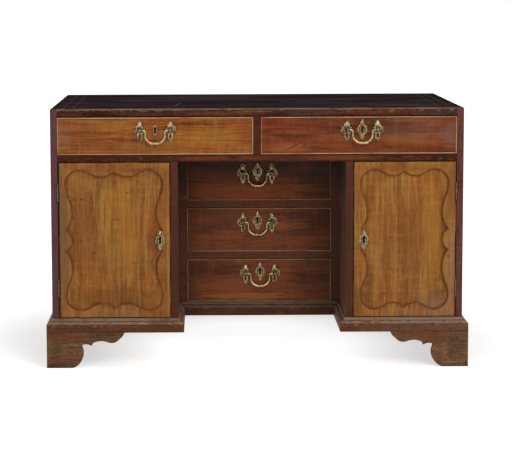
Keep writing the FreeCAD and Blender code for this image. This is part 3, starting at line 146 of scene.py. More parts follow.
class DeskBrass(bpy.types.PropertyGroup):
    """Sizes of the cast ornament on the handle plates and key plates."""
    plate_face: length("Plate face", "Front of a handle plate from the drawer's face", 2)
    key_face: length("Key plate face", "Front of a key plate from the wood", 1.6)
    bud_height: length("Bud height", "Height of the bud over a post", 18)
    bud_width: length("Bud width", "Width of the bud over a post", 14)
    bail_radius: length("Bail radius", "Radius of the bail's bow", 2.9)
    bow_radius: length("Bow radius", "Radius of the bail's lower bends", 24)
    handle_spacing: length("Handle spacing", "Distance between a handle's posts", 92)
    key_lift: length("Key lift", "A kneehole keyhole's height over the posts", 5)
    key_drop: length("Key drop", "A door's keyhole over the foot of its plate", 32)
    screw_radius: length("Screw radius", "Radius of a lock screw's head", 3.2)
    screw_rise: length("Screw rise", "Height of a lock screw's head", 1.2)
    screw_inset: length("Screw inset", "A lock screw's distance from the lock's edges", 7)


class DeskStage(bpy.types.PropertyGroup):
    """Camera and light."""
    eye: bpy.props.FloatVectorProperty(name="Camera place", description="Where the camera stands",
                                       subtype="XYZ", unit="LENGTH", size=3,
                                       default=(-0.1636, -5.3703, 1.1563))
    yaw: amount("Yaw", "Turn of the camera to its right", math.radians(0.08), subtype="ANGLE")
    pitch: amount("Pitch", "Tilt of the camera downwards", math.radians(5.593), subtype="ANGLE")
    roll: amount("Roll", "Roll of the camera", math.radians(0.24), subtype="ANGLE")
    lens: amount("Lens", "Focal length in millimetres on a 36 mm sensor", 118.64, min=1)
    shift: bpy.props.FloatVectorProperty(name="Shift", description="Sideways and upward shift of the lens",
                                         size=2, default=(0.0996, -0.1504))
    paper: tone("Backdrop", "Pale floor and backdrop", "#f4f4f2")
    key_power: amount("Key lamp", "Power of the lamp above the front", 85, unit="POWER", min=0)
    fill_power: amount("Fill lamp", "Power of the lamp on the left", 30, unit="POWER", min=0)
    top_power: amount("Top lamp", "Power of the lamp over the desk", 22, unit="POWER", min=0)
    sky: amount("Sky", "Strength of the light from all round", 0.2, min=0)


def add(tree, kind, inputs=None, out=0, **settings):
    """Adds one shader node with its settings and links, and gives the output asked for.

    An input is a value or another node's output.
    """
    node = tree.nodes.new("ShaderNode" + kind)
    for name, value in settings.items():
        setattr(node, name, value)
    for name, value in (inputs or {}).items():
        socket = node.inputs[name]
        if isinstance(value, bpy.types.NodeSocket):
            tree.links.new(value, socket)
        elif hasattr(value, "__len__") and len(value) < len(socket.default_value):
            socket.default_value = (*value, 1)
        else:
            socket.default_value = value
    return node.outputs[out] if node.outputs else None


def begin(name):
    """An empty material, its node tree and the object coordinates in metres."""
    material = bpy.data.materials.new(name)
    material.use_nodes = True
    tree = material.node_tree
    tree.nodes.clear()
    return material, tree, add(tree, "TexCoord", out="Object")


def end(tree, colour, pattern, smooth, rough, height, depth, grime=None, **constants):
    """The roughness, relief, shader and output of a material. The relief's depth is in millimetres.

    The roughness follows a pattern between two values, and is higher in the grime.
    """
    roughness = add(tree, "MapRange", {"Value": pattern, "From Min": 0.3, "From Max": 0.7, "To Min": smooth,
                                       "To Max": rough})
    if grime is not None:
        roughness = add(tree, "Math", {0: grime, 1: 0.3, 2: roughness}, operation="MULTIPLY_ADD")
    bump = add(tree, "Bump", {"Height": height, "Strength": 0.35, "Distance": depth * MM})
    inputs = {"Base Color": colour, "Roughness": roughness, "Normal": bump}
    inputs.update({name.replace("_", " "): value for name, value in constants.items()})
    add(tree, "OutputMaterial", {"Surface": add(tree, "BsdfPrincipled", inputs)})


def streaks(tree, place, along, long, wide, offset, detail=2, bend=0.0):
    """A pattern of streaks along one axis, each so long and so wide in millimetres."""
    scale = [1 / (wide * MM)] * 3
    scale["XYZ".index(along)] = 1 / (long * MM)
    mapped = add(tree, "Mapping", {"Vector": place, "Scale": scale, "Location": (offset, offset, offset)})
    return add(tree, "TexNoise", {"Vector": mapped, "Scale": 1, "Detail": detail, "Distortion": bend}, "Fac")


def glaze(tree, under, over, pattern, low, high, share):
    """A coat of one colour over another, up to its full share as the pattern goes from low to high."""
    mask = add(tree, "MapRange", {"Value": pattern, "From Min": low, "From Max": high, "To Max": share},
               interpolation_type="SMOOTHSTEP")
    return add(tree, "Mix", {0: mask, 6: under, 7: over}, 2, data_type="RGBA")


def layers(tree, place, colour, coats, marks=()):
    """A colour under coats, each with its pattern, the pattern's low and high and a share, then marks."""
    for over, pattern, low, high, share in coats:
        colour = glaze(tree, colour, over, pattern, low, high, share)
    for mark in marks:
        colour = mark(tree, place, colour)
    return colour


def hollows(tree, reach):
    """Near 1 in inside corners and 0 on open faces, where grime and old wax gather and where shade falls; the
    darkening it drives is partly painted shade.
    """
    open_sky = add(tree, "AmbientOcclusion", {"Distance": reach * MM}, "AO", samples=8)
    return add(tree, "MapRange", {"Value": open_sky, "From Min": 0.9, "From Max": 0.35},
               interpolation_type="SMOOTHSTEP")


def round_corners(tree, place, along):
    """Coordinates turned a quarter about Z on faces that look along the grain, as boards meet at corners."""
    facing = add(tree, "SeparateXYZ", {0: add(tree, "TexCoord", out="Normal")}, along)
    sideways = add(tree, "Math", {0: add(tree, "Math", {0: facing}, operation="ABSOLUTE"), 1: 0.7},
                   operation="GREATER_THAN")
    turned = add(tree, "Mapping", {"Vector": place, "Rotation": (0, 0, math.pi / 2)})
    return add(tree, "Mix", {0: sideways, 4: place, 5: turned}, 1, data_type="VECTOR")


def mahogany(name, along, main, streak, offset, marks=(), figure=1.0, gloss=0.42, shine=0.12, dirt_and_shade=0.7,
             knots=0.0, returns=False):
    """Old wax-polished mahogany: broad zones, ribbon streaks, short dark pores, grime and painted shade in
    the corners.

    The offset picks its place in the pattern. A grain that returns runs round the corners too.
    """
    material, tree, place = begin("mahogany_" + name)
    grain = round_corners(tree, place, along) if returns else place
    pale = [min(1, 1.45 * part) for part in main]
    dark = [0.4 * part for part in streak]
    warm = (main[0], 0.64 * main[1], 0.5 * main[2])
    # The last are the curl across the grain, and pores that only a close view shows
    zone, blush, ribbon, thread, curl, pores = (
        streaks(tree, grain, along, long, wide, offset + shift, detail, bend)
        for long, wide, shift, detail, bend in (
            (420, 42, 0, 3, 0.6), (200, 110, 5, 2, 0.3), (160, 8, 3, 5, 0.15), (60, 3.4, 9, 3, 0),
            (14, 60, 11, 2, 0.5), (14, 1.6, 7, 1, 0)))
    colour = layers(tree, place, main, (
        (streak, zone, 0.42, 0.6, 0.85 * figure), (warm, blush, 0.45, 0.65, 0.7 * figure),
        (pale, ribbon, 0.5, 0.64, 0.42 * figure), (dark, ribbon, 0.48, 0.34, 0.36 * figure),
        (pale, curl, 0.5, 0.68, 0.26 * figure), (dark, curl, 0.46, 0.3, 0.16 * figure),
        (dark, thread, 0.52, 0.68, 0.36), (pale, thread, 0.46, 0.32, 0.34), (dark, pores, 0.58, 0.7, 0.5)))
    if knots:
        centres = add(tree, "TexVoronoi", {"Vector": place, "Scale": 1 / (45 * MM)}, "Distance")
        chance = add(tree, "TexNoise", {"Vector": place, "Scale": 1 / (110 * MM)}, "Fac")
        chosen = glaze(tree, colour, dark, centres, 0.16, 0.06, knots)
        colour = glaze(tree, colour, chosen, chance, 0.56, 0.64, 1)
    colour = layers(tree, place, colour, (), marks)
    # Darker in the inside corners: grime, and painted shade
    colour = glaze(tree, colour, [0.3 * part for part in streak], hollows(tree, 8), 0, 1, dirt_and_shade)
    sunk = add(tree, "Math", {0: pores, 1: -0.5, 2: ribbon}, operation="MULTIPLY_ADD")
    end(tree, colour, zone, gloss - 0.06, gloss + 0.1, sunk, 0.6, Specular_IOR_Level=shine)
    return material


def within(tree, place, axis, low, high, soft):
    """1 between two places along an axis, in millimetres, falling to 0 over a soft edge."""
    part = add(tree, "SeparateXYZ", {0: place}, axis)
    middle, half = (low + high) / 2 * MM, (high - low) / 2 * MM
    away = add(tree, "Math", {0: add(tree, "Math", {0: part, 1: middle}, operation="SUBTRACT")},
               operation="ABSOLUTE")
    return add(tree, "MapRange", {"Value": away, "From Min": half + soft * MM, "From Max": half},
               interpolation_type="SMOOTHSTEP")


def patch(x, z, wide, high, colour, strength, ragged=0.5, turn=0.0):
    """A soft oval mark on the front, placed in millimetres, with an edge broken by the grain."""
    def lay(tree, place, under):
        local = add(tree, "Mapping", {"Vector": place, "Location": (x * MM, 0, z * MM),
                                      "Rotation": (0, turn, 0), "Scale": (wide * MM, 1, high * MM)},
                    vector_type="TEXTURE")
        flat = add(tree, "VectorMath", {0: local, 1: (1, 0, 1)}, operation="MULTIPLY")
        away = add(tree, "VectorMath", {0: flat}, "Value", operation="LENGTH")
        broken = add(tree, "TexNoise", {"Vector": local, "Scale": 3, "Detail": 3}, "Fac")
        edge = add(tree, "Math", {0: broken, 1: 2 * ragged, 2: away}, operation="MULTIPLY_ADD")
        return glaze(tree, under, colour, edge, 1.1 + ragged, 0.35 + ragged, strength)
    return lay


def band(axis, low, high, soft, colour, strength, other=None):
    """A worn or stained strip, or a painted shade or highlight, between two places along an axis, in
    millimetres, broken by rubbing.
    """
    def lay(tree, place, under):
        mask = within(tree, place, axis, low, high, soft)
        if other:
            mask = add(tree, "Math", {0: mask, 1: within(tree, place, *other, soft)}, operation="MULTIPLY")
        rubbed = add(tree, "TexNoise", {"Vector": place, "Scale": 1 / (60 * MM), "Detail": 4}, "Fac")
        kept = add(tree, "MapRange", {"Value": rubbed, "From Min": 0.36, "From Max": 0.6, "To Min": 0.45})
        mask = add(tree, "Math", {0: mask, 1: kept}, operation="MULTIPLY")
        return glaze(tree, under, colour, mask, 0, 1, strength)
    return lay


def flecks(low, high, colour, strength):
    """Chips and rubbed specks, drawn out along X, between two heights in millimetres."""
    def lay(tree, place, under):
        specks = streaks(tree, place, "X", 18, 6, high)
        chosen = add(tree, "MapRange", {"Value": specks, "From Min": 0.54, "From Max": 0.66})
        mask = add(tree, "Math", {0: chosen, 1: within(tree, place, "Z", low, high, 3)}, operation="MULTIPLY")
        return glaze(tree, under, colour, mask, 0, 1, strength)
    return lay


def oak(name, along, finishes, marks=()):
    """Plain sawn oak: dry, straight grained and a little dusty, with painted shade in its hollows."""
    material, tree, place = begin(name)
    boards = round_corners(tree, place, along)
    grain = streaks(tree, boards, along, 300, 6, 0, 5)
    rays = streaks(tree, boards, along, 30, 2.5, 4, 2)
    damp = add(tree, "TexNoise", {"Vector": place, "Scale": 1 / (160 * MM)}, "Fac")
    # The dark oak colours the rays, and also the painted shade in the hollows
    shade = [0.25 * part for part in finishes.oak_streak]
    colour = layers(tree, place, finishes.oak, (
        (finishes.oak_streak, grain, 0.4, 0.65, 1), (shade, rays, 0.58, 0.72, 0.4),
        (finishes.oak_streak, damp, 0.5, 0.75, 0.7), (shade, hollows(tree, 20), 0, 1, 1)), marks)
    end(tree, colour, damp, 0.62, 0.8, grain, 0.7)
    return material


def hide(name, finishes, low, high):
    """Old dark hide: pebbled, rubbed brown, with blind-tooled lines near each end and a scratch."""
    material, tree, place = begin(name)
    pebble = add(tree, "TexVoronoi", {"Vector": place, "Scale": 1 / (2.4 * MM)}, "Distance")
    rub = streaks(tree, place, "X", 320, 70, 0, 4, 0.6)
    scuff = streaks(tree, place, "X", 110, 24, 2, 3)
    worn = [1.9 * part for part in finishes.hide_rub]
    colour = glaze(tree, finishes.hide, finishes.hide_rub, rub, 0.46, 0.66, 0.9)
    colour = glaze(tree, colour, worn, scuff, 0.6, 0.74, 0.6)
    for edge, inward in ((low.x, 1), (high.x, -1)):
        for inset in TOOLED_LINES:
            line = within(tree, place, "X", edge + inward * inset - 1, edge + inward * inset + 1, 1)
            colour = glaze(tree, colour, worn, line, 0, 1, 0.7)
            pebble = add(tree, "Math", {0: line, 1: -0.8, 2: pebble}, operation="MULTIPLY_ADD")
    # The pale scratch left of the middle, which runs back and to the right
    local = add(tree, "Mapping", {"Vector": place, "Location": SCRATCH_PLACE,
                                  "Rotation": (0, 0, SCRATCH_TURN)}, vector_type="TEXTURE")
    scratch = add(tree, "Math", {0: within(tree, local, "X", -1.2, 1.2, 1.2),
                                 1: within(tree, local, "Y", -40, 40, 25)}, operation="MULTIPLY")
    colour = glaze(tree, colour, finishes.bloom, scratch, 0, 1, 0.9)
    end(tree, colour, rub, 0.5, 0.68, pebble, 0.6, Specular_IOR_Level=0.0)
    return material


def cast_brass(name, bright, dull, shade, marks=()):
    """Cast brass, old lacquer gone: pale where it faces the front and the hand, from rubbing and a painted
    highlight, with painted glints, and dark on its slopes and in its hollows from tarnish and painted shade.
    """
    material, tree, place = begin(name)
    # Faces turned to the front take the bright colour, partly as a painted highlight; the slopes keep the
    # dull colour as painted shade
    facing = add(tree, "SeparateXYZ", {0: add(tree, "TexCoord", out="Normal")}, "Y")
    cloud = add(tree, "TexNoise", {"Vector": place, "Scale": 1 / (6 * MM), "Detail": 3}, "Fac")
    pits = add(tree, "TexNoise", {"Vector": place, "Scale": 1 / (1.1 * MM), "Detail": 2}, "Fac")
    # Hollows darkened by tarnish and by painted shade
    dirt_and_shade = hollows(tree, 6)
    # Pale glints where the cloud is low are painted highlights
    glints = [min(1, 1.5 * part) for part in bright]
    colour = layers(tree, place, dull, (
        (bright, facing, -0.35, -0.95, 1), (dull, cloud, 0.5, 0.66, 0.9), (glints, cloud, 0.46, 0.34, 0.8),
        (shade, dirt_and_shade, 0, 1, 0.95)), marks)
    end(tree, colour, cloud, 0.3, 0.46, pits, 0.3, dirt_and_shade, Metallic=1.0)
    return material


def wrought_iron(name, finishes):
    """Forged lock plates and bolts: filed bright once, now grey brown with specks of rust."""
    material, tree, place = begin(name)
    cloud = add(tree, "TexNoise", {"Vector": place, "Scale": 1 / (14 * MM), "Detail": 4}, "Fac")
    colour = glaze(tree, finishes.iron, finishes.rust, cloud, 0.52, 0.7, 0.8)
    end(tree, colour, cloud, 0.42, 0.7, cloud, 0.5, Metallic=0.9)
    return material


def coat(names, material):
    """Gives one CAD node or several a material in place of their own."""
    for name in [names] if isinstance(names, str) else names:
        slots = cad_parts[name].data.materials
        slots.clear()
        slots.append(material)


def box_mm(name):
    """The two corners of a CAD node's box, in millimetres."""
    return [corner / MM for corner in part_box(name)]


class DESK_OT_carcase(bpy.types.Operator):
    """Finish the sides, rails, top, walls, back and base"""
    bl_idname = "desk.carcase"
    bl_label = "Finish the carcase"

    def execute(self, context):
        colours = context.scene.desk_finishes
        streak, rub, bloom, stain_and_shade = colours.show_streak, colours.rub, colours.bloom, colours.stain_and_shade
        dusty, black, grime_and_shade = colours.hide_rub, colours.hide, colours.grime_and_shade
        low, high = box_mm("desk_top")
        top, face = high.z, low.y
        side = box_mm("right_side")[1].x
        front, deep = ("Y", face - 1, face + 2), ("Y", face + 48, 0)
        lip = band("Z", top - 0.6, top + 1, 0.4, black, 1)
        purple = band("Y", face - 1, face + 1.5, 0.5, colours.side_edge, 1)
        for name, offset, edge, outer in (("left_side", 2, [purple, purple], (-side - 1, -side + 3)),
                                          ("right_side", 9, [], (side - 3, side + 1))):
            worn = band("Z", top - 4, top + 1, 1, dusty, 0.6, ("X", *outer))
            coat(name, mahogany(name, "Z", colours.side_wood, streak, offset, [*edge, lip, worn], shine=0))
        coat("desk_top", mahogany("top_board", "X", colours.top_edge, streak, 5, [
            patch(-100, 772, 150, 7, rub, 0.6), patch(-20, 778, 60, 3, colours.gold, 0.4),
            patch(330, 774, 200, 6, rub, 0.5), patch(-480, 770, 70, 12, stain_and_shade, 0.6),
            patch(60, 768, 60, 10, stain_and_shade, 0.5), patch(560, 770, 60, 14, dusty, 0.6),
            flecks(764, top - 6, stain_and_shade, 0.6), flecks(top - 9, top - 2, bloom, 0.6),
            lip, band("Z", top - 4, top - 0.5, 0.7, bloom, 0.8, ("Y", face - 1, face + 4)),
            band("Z", 761, 764, 1, stain_and_shade, 0.8, front)], shine=0))
        walls = ("left_kneehole_wall", "right_kneehole_wall")
        # The dark bands high on the walls, deeper in, are painted shadow under the top
        coat(walls, mahogany("kneehole_walls", "Z", colours.wall_wood, streak, 14, [
            band("Y", face + 8, -40, 6, dusty, 0.8), band("Y", face + 8, -40, 6, bloom, 0.3, ("X", 260, 300)),
            band("Z", 590, 640, 40, grime_and_shade, 0.3, deep), band("Z", 530, 640, 40, black, 0.45, deep)]))
        coat("front_rails", mahogany("rails", "X", colours.show_wood, streak, 17, [
            patch(-100, 637, 190, 9, rub, 0.6), patch(260, 637, 150, 9, rub, 0.7),
            patch(-70, 640, 30, 10, stain_and_shade, 0.7), patch(545, 636, 40, 10, stain_and_shade, 0.7),
            flecks(628, 646, stain_and_shade, 0.5), flecks(627, 640, rub, 0.5),
            band("Z", 645.5, 649, 1, stain_and_shade, 0.5, front), band("Z", 625, 628.5, 1, stain_and_shade, 0.8, front)],
            shine=0.07))
        # The dark bands at the top are painted shadow under the top, and those on the stiles painted shade
        coat("kneehole_frame", mahogany("kneehole_rails", "X", colours.inner_rail, streak, 31, [
            patch(-190, 484, 45, 8, colours.bead_wood, 0.3), patch(-150, 324, 60, 8, rub, 0.6),
            patch(100, 484, 120, 6, rub, 0.5), patch(40, 324, 120, 8, rub, 0.5),
            band("Z", 570, 640, 90, black, 0.6), band("Z", 595, 640, 20, grime_and_shade, 0.5),
            band("X", -245, -218, 3, black, 0.15), band("X", 247, 275, 3, black, 0.25)]))

        foot = box_mm("base_moulding")[0].z
        recess = box_mm("kneehole_frame")[0].y
        right = ("X", 310, 640)
        coat("base_moulding", mahogany("base_moulding", "X", colours.base_wood, colours.base_streak, 21, [
            # Grey dust with a painted highlight on the upward ledges; the dark lines under the lips are
            # painted shade
            band("Z", foot + 24.5, foot + 32, 1.5, bloom, 0.9),
            band("Z", foot + 24, foot + 44, 2, bloom, 0.55, right),
            band("Z", foot - 1, foot + 24, 2, bloom, 0.2, right), flecks(foot, foot + 40, stain_and_shade, 0.45),
            flecks(foot + 20, foot + 43, colours.bead_wood, 0.3),
            band("Z", foot + 34, foot + 44, 1.5, bloom, 1),
            band("Z", foot + 22, foot + 23.5, 0.8, stain_and_shade, 0.6),
            band("Z", foot + 32.5, foot + 33.5, 0.6, stain_and_shade, 0.7),
            # Painted shade where the moulding runs back into the kneehole
            band("Y", recess - 20, recess + 60, 12, stain_and_shade, 0.6, ("X", -262, 291)),
            band("Z", foot - 1, foot + 2, 1, stain_and_shade, 0.7)], figure=0.8, gloss=0.5, returns=True))
        coat("bracket_feet", mahogany("bracket_feet", "X", colours.foot_wood, colours.base_streak, 27, [
            band("Z", -1, 6, 8, stain_and_shade, 0.55), patch(590, 14, 45, 3, bloom, 0.8),
            patch(600, 55, 70, 70, bloom, 0.12),
            flecks(-1, 100, stain_and_shade, 0.4), flecks(2, 75, colours.gold, 0.35),
            patch(-560, 70, 50, 4, bloom, 0.35), patch(-610, 40, 20, 50, stain_and_shade, 0.3),
            patch(-600, 22, 36, 10, rub, 0.5), patch(-560, 96, 70, 9, rub, 0.5),
            patch(540, 96, 80, 9, rub, 0.5), patch(600, 60, 30, 50, stain_and_shade, 0.3)],
            figure=0.8, gloss=0.6, returns=True))
        unseen = ("upper_dustboard", "cupboard_floors", "cupboard_shelves", "kneehole_dustboards")
        coat(unseen, oak("oak_carcase_boards", "X", colours))
        # The back's boards, one above the other, with dark gaps
        tints = (colours.oak_streak, bloom, stain_and_shade, colours.oak)
        low, high = box_mm("back_boards")
        height = (high.z - low.z) / len(tints)
        back = []
        for k, tint in enumerate(tints):
            level = low.z + k * height
            back += [band("Z", level + 3, level + height - 3, 3, tint, 0.18),
                     band("Z", level - 1, level + 1, 0.6, grime_and_shade, 1)]
        coat("back_boards", oak("oak_back_boards", "X", colours, back))
        coat("writing_leather", hide("hide_writing_surface", colours, *box_mm("writing_leather")))
        return {"FINISHED"}


class DESK_OT_drawers(bpy.types.Operator):
    """Finish the drawer fronts with their cockbeads, and the oak drawer boxes"""
    bl_idname = "desk.drawers"
    bl_label = "Finish the drawers"

    def execute(self, context):
        colours = context.scene.desk_finishes
        brass = context.scene.desk_brass
        gold, rub, stain_and_shade, bloom = colours.gold, colours.rub, colours.stain_and_shade, colours.bloom
        golden, grime_and_shade = colours.left_front, colours.grime_and_shade
        inner = (colours.inner_front, colours.inner_streak)
        # A brighter red, laid as painted light on the kneehole drawers
        bright = [1.35 * part for part in rub]
        lining = oak("oak_drawer_linings", "Y", colours)

        def front(drawer, wood, streak, offset, figure, pale, marks):
            """Finishes a drawer with so strong a figure and so pale a cockbead."""
            # The worn nose of the cockbead, which stands proud of the face, pale from wear and a painted
            # highlight
            nose = box_mm(drawer + "_front")[0].y
            marks.append(band("Y", nose - 5, nose + 1.6, 0.4, colours.bead_wood, pale))
            # Grime round the handle plates, where polish is never rubbed off, with painted shade of the
            # plates
            middle = handle_middle(drawer, brass) / MM
            for side in (-0.5, 0.5):
                post = middle.x + side * brass.handle_spacing / MM
                marks.append(patch(post, middle.z, *HANDLE_GRIME_AND_SHADE, grime_and_shade, 0.4))
            coat(drawer + "_front", mahogany(drawer, "X", wood, streak, offset, marks, figure))
            coat(drawer + "_box", lining)

        front("left_drawer", golden, colours.left_streak, 1, 1.25, 0.9, [
            patch(-136, 700, 120, 34, gold, 0.45), patch(-420, 735, 90, 14, gold, 0.25),
            patch(-520, 700, 100, 50, rub, 0.4), patch(-200, 742, 60, 7, stain_and_shade, 0.4),
            patch(-250, 668, 90, 10, rub, 0.4), patch(-60, 735, 60, 12, rub, 0.4),
            patch(-306, 716, 18, 32, rub, 0.7), patch(-542, 683, 7, 2, bloom, 0.8, 0.2),
            patch(-80, 690, 90, 1.2, stain_and_shade, 0.5, 0.3), patch(-400, 664, 120, 8, rub, 0.5),
            patch(-592, 710, 50, 60, bloom, 0.2), patch(-32, 712, 26, 60, rub, 0.45)])
        front("right_drawer", colours.right_front, colours.right_streak, 12, 1.25, 0.8, [
            patch(95, 666, 80, 16, golden, 0.55), patch(460, 690, 110, 24, golden, 0.4, 0.8),
            patch(240, 700, 100, 14, golden, 0.3, 0.8), patch(600, 705, 60, 60, bloom, 0.3),
            patch(34, 746, 40, 10, stain_and_shade, 0.35), patch(480, 715, 150, 42, bloom, 0.17, 0.8),
            patch(470, 750, 130, 7, bloom, 0.2), patch(150, 735, 130, 9, stain_and_shade, 0.35),
            patch(120, 705, 110, 7, stain_and_shade, 0.35), patch(106, 669, 40, 1.6, stain_and_shade, 1, 0.15, CRACK_ANGLE)])
        # Painted shadow under the top rail and painted shade at both ends; the broad bright patch lower down
        # is painted light
        front("upper_kneehole_drawer", *inner, 23, 1, 0.4, [
            patch(-60, 500, 220, 34, bright, 0.6, 0.8), band("X", 190, 250, 70, stain_and_shade, 0.4),
            band("X", -220, -205, 40, stain_and_shade, 0.35), band("Z", 580, 605, 70, colours.hide, 0.65),
            band("Z", 592, 605, 25, grime_and_shade, 0.5)])
        # The bright and golden patches are painted light where light reaches into the recess; the dark bands
        # at the ends are painted shade
        front("middle_kneehole_drawer", *inner, 34, 1, 0.5, [
            patch(80, 392, 110, 18, golden, 0.35, 0.8), patch(-60, 430, 130, 16, rub, 0.5),
            patch(150, 340, 90, 26, bright, 0.4, 0.8), patch(-120, 350, 90, 22, bright, 0.25, 0.8),
            patch(9, 400, 100, 44, bright, 0.5, 0.8),
            band("X", 200, 250, 80, stain_and_shade, 0.35), band("X", -220, -205, 40, stain_and_shade, 0.3)])
        # The bright and golden patches are painted light where light reaches into the recess; the dark bands
        # at the ends are painted shade
        front("lower_kneehole_drawer", *inner, 45, 1, 0.5, [
            patch(-60, 205, 150, 35, bright, 0.35), patch(-20, 168, 200, 14, golden, 0.65, 0.8),
            patch(40, 235, 110, 34, bright, 0.4, 0.8), band("X", 180, 250, 110, stain_and_shade, 0.4),
            band("X", -220, -205, 40, stain_and_shade, 0.35)])
        return {"FINISHED"}


class DESK_OT_doors(bpy.types.Operator):
    """Finish the doors' frames, panels and shaped beads"""
    bl_idname = "desk.doors"
    bl_label = "Finish the doors"

    def execute(self, context):
        colours = context.scene.desk_finishes
        wood, streak = colours.door_wood, colours.door_streak
        gold, rub, stain_and_shade, bloom = colours.gold, colours.rub, colours.stain_and_shade, colours.bloom
        grime_and_shade = colours.grime_and_shade
        coat("left_door_panel", mahogany("left_panel", "Z", wood, streak, 61, [
            patch(-530, 470, 45, 130, rub, 0.55), patch(-310, 400, 16, 120, rub, 0.5),
            patch(-415, 480, 70, 130, gold, 0.35), patch(-430, 215, 130, 40, streak, 0.5),
            patch(-530, 512, 4.5, 4, stain_and_shade, 0.9, 0.2), patch(-552, 512, 3, 5, stain_and_shade, 0.8, 0.2),
            patch(-393, 532, 7, 2, stain_and_shade, 0.9, 0.2), patch(-494, 349, 6, 4, stain_and_shade, 0.8, 0.2),
            patch(-370, 318, 22, 3, stain_and_shade, 0.5, 0.6), patch(-425, 450, 18, 3, stain_and_shade, 0.4, 0.6),
            patch(-500, 330, 70, 90, rub, 0.3), patch(-352, 470, 1.5, 130, stain_and_shade, 0.35, 0.3),
            patch(-430, 590, 150, 26, rub, 0.4), patch(-406, 345, 80, 70, gold, 0.35),
            patch(-318, 205, 24, 44, streak, 0.5)], figure=0.85, dirt_and_shade=0.45, knots=0.9))
        coat("right_door_panel", mahogany("right_panel", "Z", wood, streak, 66, [
            patch(570, 470, 20, 140, rub, 0.5), patch(396, 380, 26, 180, streak, 0.4),
            patch(530, 400, 34, 200, gold, 0.5), patch(540, 190, 70, 40, bloom, 0.3),
            patch(414, 555, 1.6, 45, stain_and_shade, 0.7, 0.2), patch(408, 393, 3, 3, stain_and_shade, 0.9, 0.2),
            patch(487, 246, 6, 3, bloom, 0.7, 0.3), patch(330, 480, 12, 70, rub, 0.4),
            patch(470, 400, 60, 160, streak, 0.45), patch(495, 420, 1.4, 140, stain_and_shade, 0.4, 0.3)],
            figure=0.85, dirt_and_shade=0.45, knots=0.7))
        # Painted shadow along the front arrises where the gaps show black, widest at the left door's gap, and
        # grime with painted shade round the key plates
        low = box_mm(DOORS[0] + "_frame")[0]
        front = ("Y", low.y - 1, low.y + 2)
        edges = 2 * [band("X", low.x - 1, low.x + 4, 0.8, grime_and_shade, 1, front)]
        for door in DOORS:
            low, high = box_mm(door + "_frame")
            plate = sum(box_mm(door + "_escutcheon"), Vector()) / 2
            edges += [band("X", low.x - 1, low.x + 2, 0.8, grime_and_shade, 1, front),
                      band("X", high.x - 2, high.x + 1, 0.8, grime_and_shade, 1, front),
                      patch(plate.x, plate.z, *KEY_GRIME_AND_SHADE, grime_and_shade, 0.4)]
        edges += [band("Z", low.z - 1, low.z + 1.5, 0.8, grime_and_shade, 0.8, front),
                  band("Z", high.z - 1.5, high.z + 1, 0.8, grime_and_shade, 0.9, front)]
        coat([door + "_frame" for door in DOORS], mahogany("door_frames", "Z", wood, streak, 72, [
            patch(-590, 380, 36, 280, colours.foot_wood, 0.6), patch(592, 280, 26, 190, bloom, 0.4),
            patch(-430, 606, 170, 20, rub, 0.5), patch(-285, 530, 28, 120, rub, 0.5),
            patch(592, 545, 26, 110, streak, 0.65), patch(-430, 163, 120, 14, bloom, 0.25),
            patch(520, 165, 110, 16, bloom, 0.35), patch(430, 606, 150, 18, streak, 0.45),
            patch(302, 195, 22, 60, streak, 0.6), patch(-335, 600, 60, 12, stain_and_shade, 0.35),
            patch(-300, 165, 60, 14, rub, 0.4), *edges], figure=0.7, gloss=0.46, dirt_and_shade=0.35, knots=0.5))
        bead = mahogany("door_bead", "Z", colours.door_bead, rub, 83, dirt_and_shade=0.5)
        coat([door + "_bead" for door in DOORS], bead)
        return {"FINISHED"}


class DESK_OT_metalwork(bpy.types.Operator):
    """Finish the brass and iron of the handles, hinges and locks"""
    bl_idname = "desk.metalwork"
    bl_label = "Finish the metalwork"

    def execute(self, context):
        colours = context.scene.desk_finishes
        plate, shade = colours.brass_plate, colours.brass_shade
        coat([drawer + "_bail" for drawer in DRAWERS],
             cast_brass("brass_cast_rubbed", colours.brass, colours.brass_dull, shade))
        coat([drawer + "_brasses" for drawer in DRAWERS[1:]] + [door + "_escutcheon" for door in DOORS],
             cast_brass("brass_plates_tarnished", plate, shade, shade))
        # The left drawer has lost its key plate, and the liner of its keyhole is dusty
        coat(DRAWERS[0] + "_brasses", cast_brass("brass_plates_and_bare_keyhole", plate, shade, shade, [
            patch(-306, 721, 10, 20, colours.bloom, 0.8, 0.1)]))
        coat(["hinge_leaves"] + [door + "_hinge_leaves" for door in DOORS],
             cast_brass("brass_hinges_blackened", colours.hinge, shade, shade))
        coat([piece + part for piece in DRAWERS + DOORS for part in ("_lock", "_bolt")],
             wrought_iron("iron_lock_work", colours))
        return {"FINISHED"}


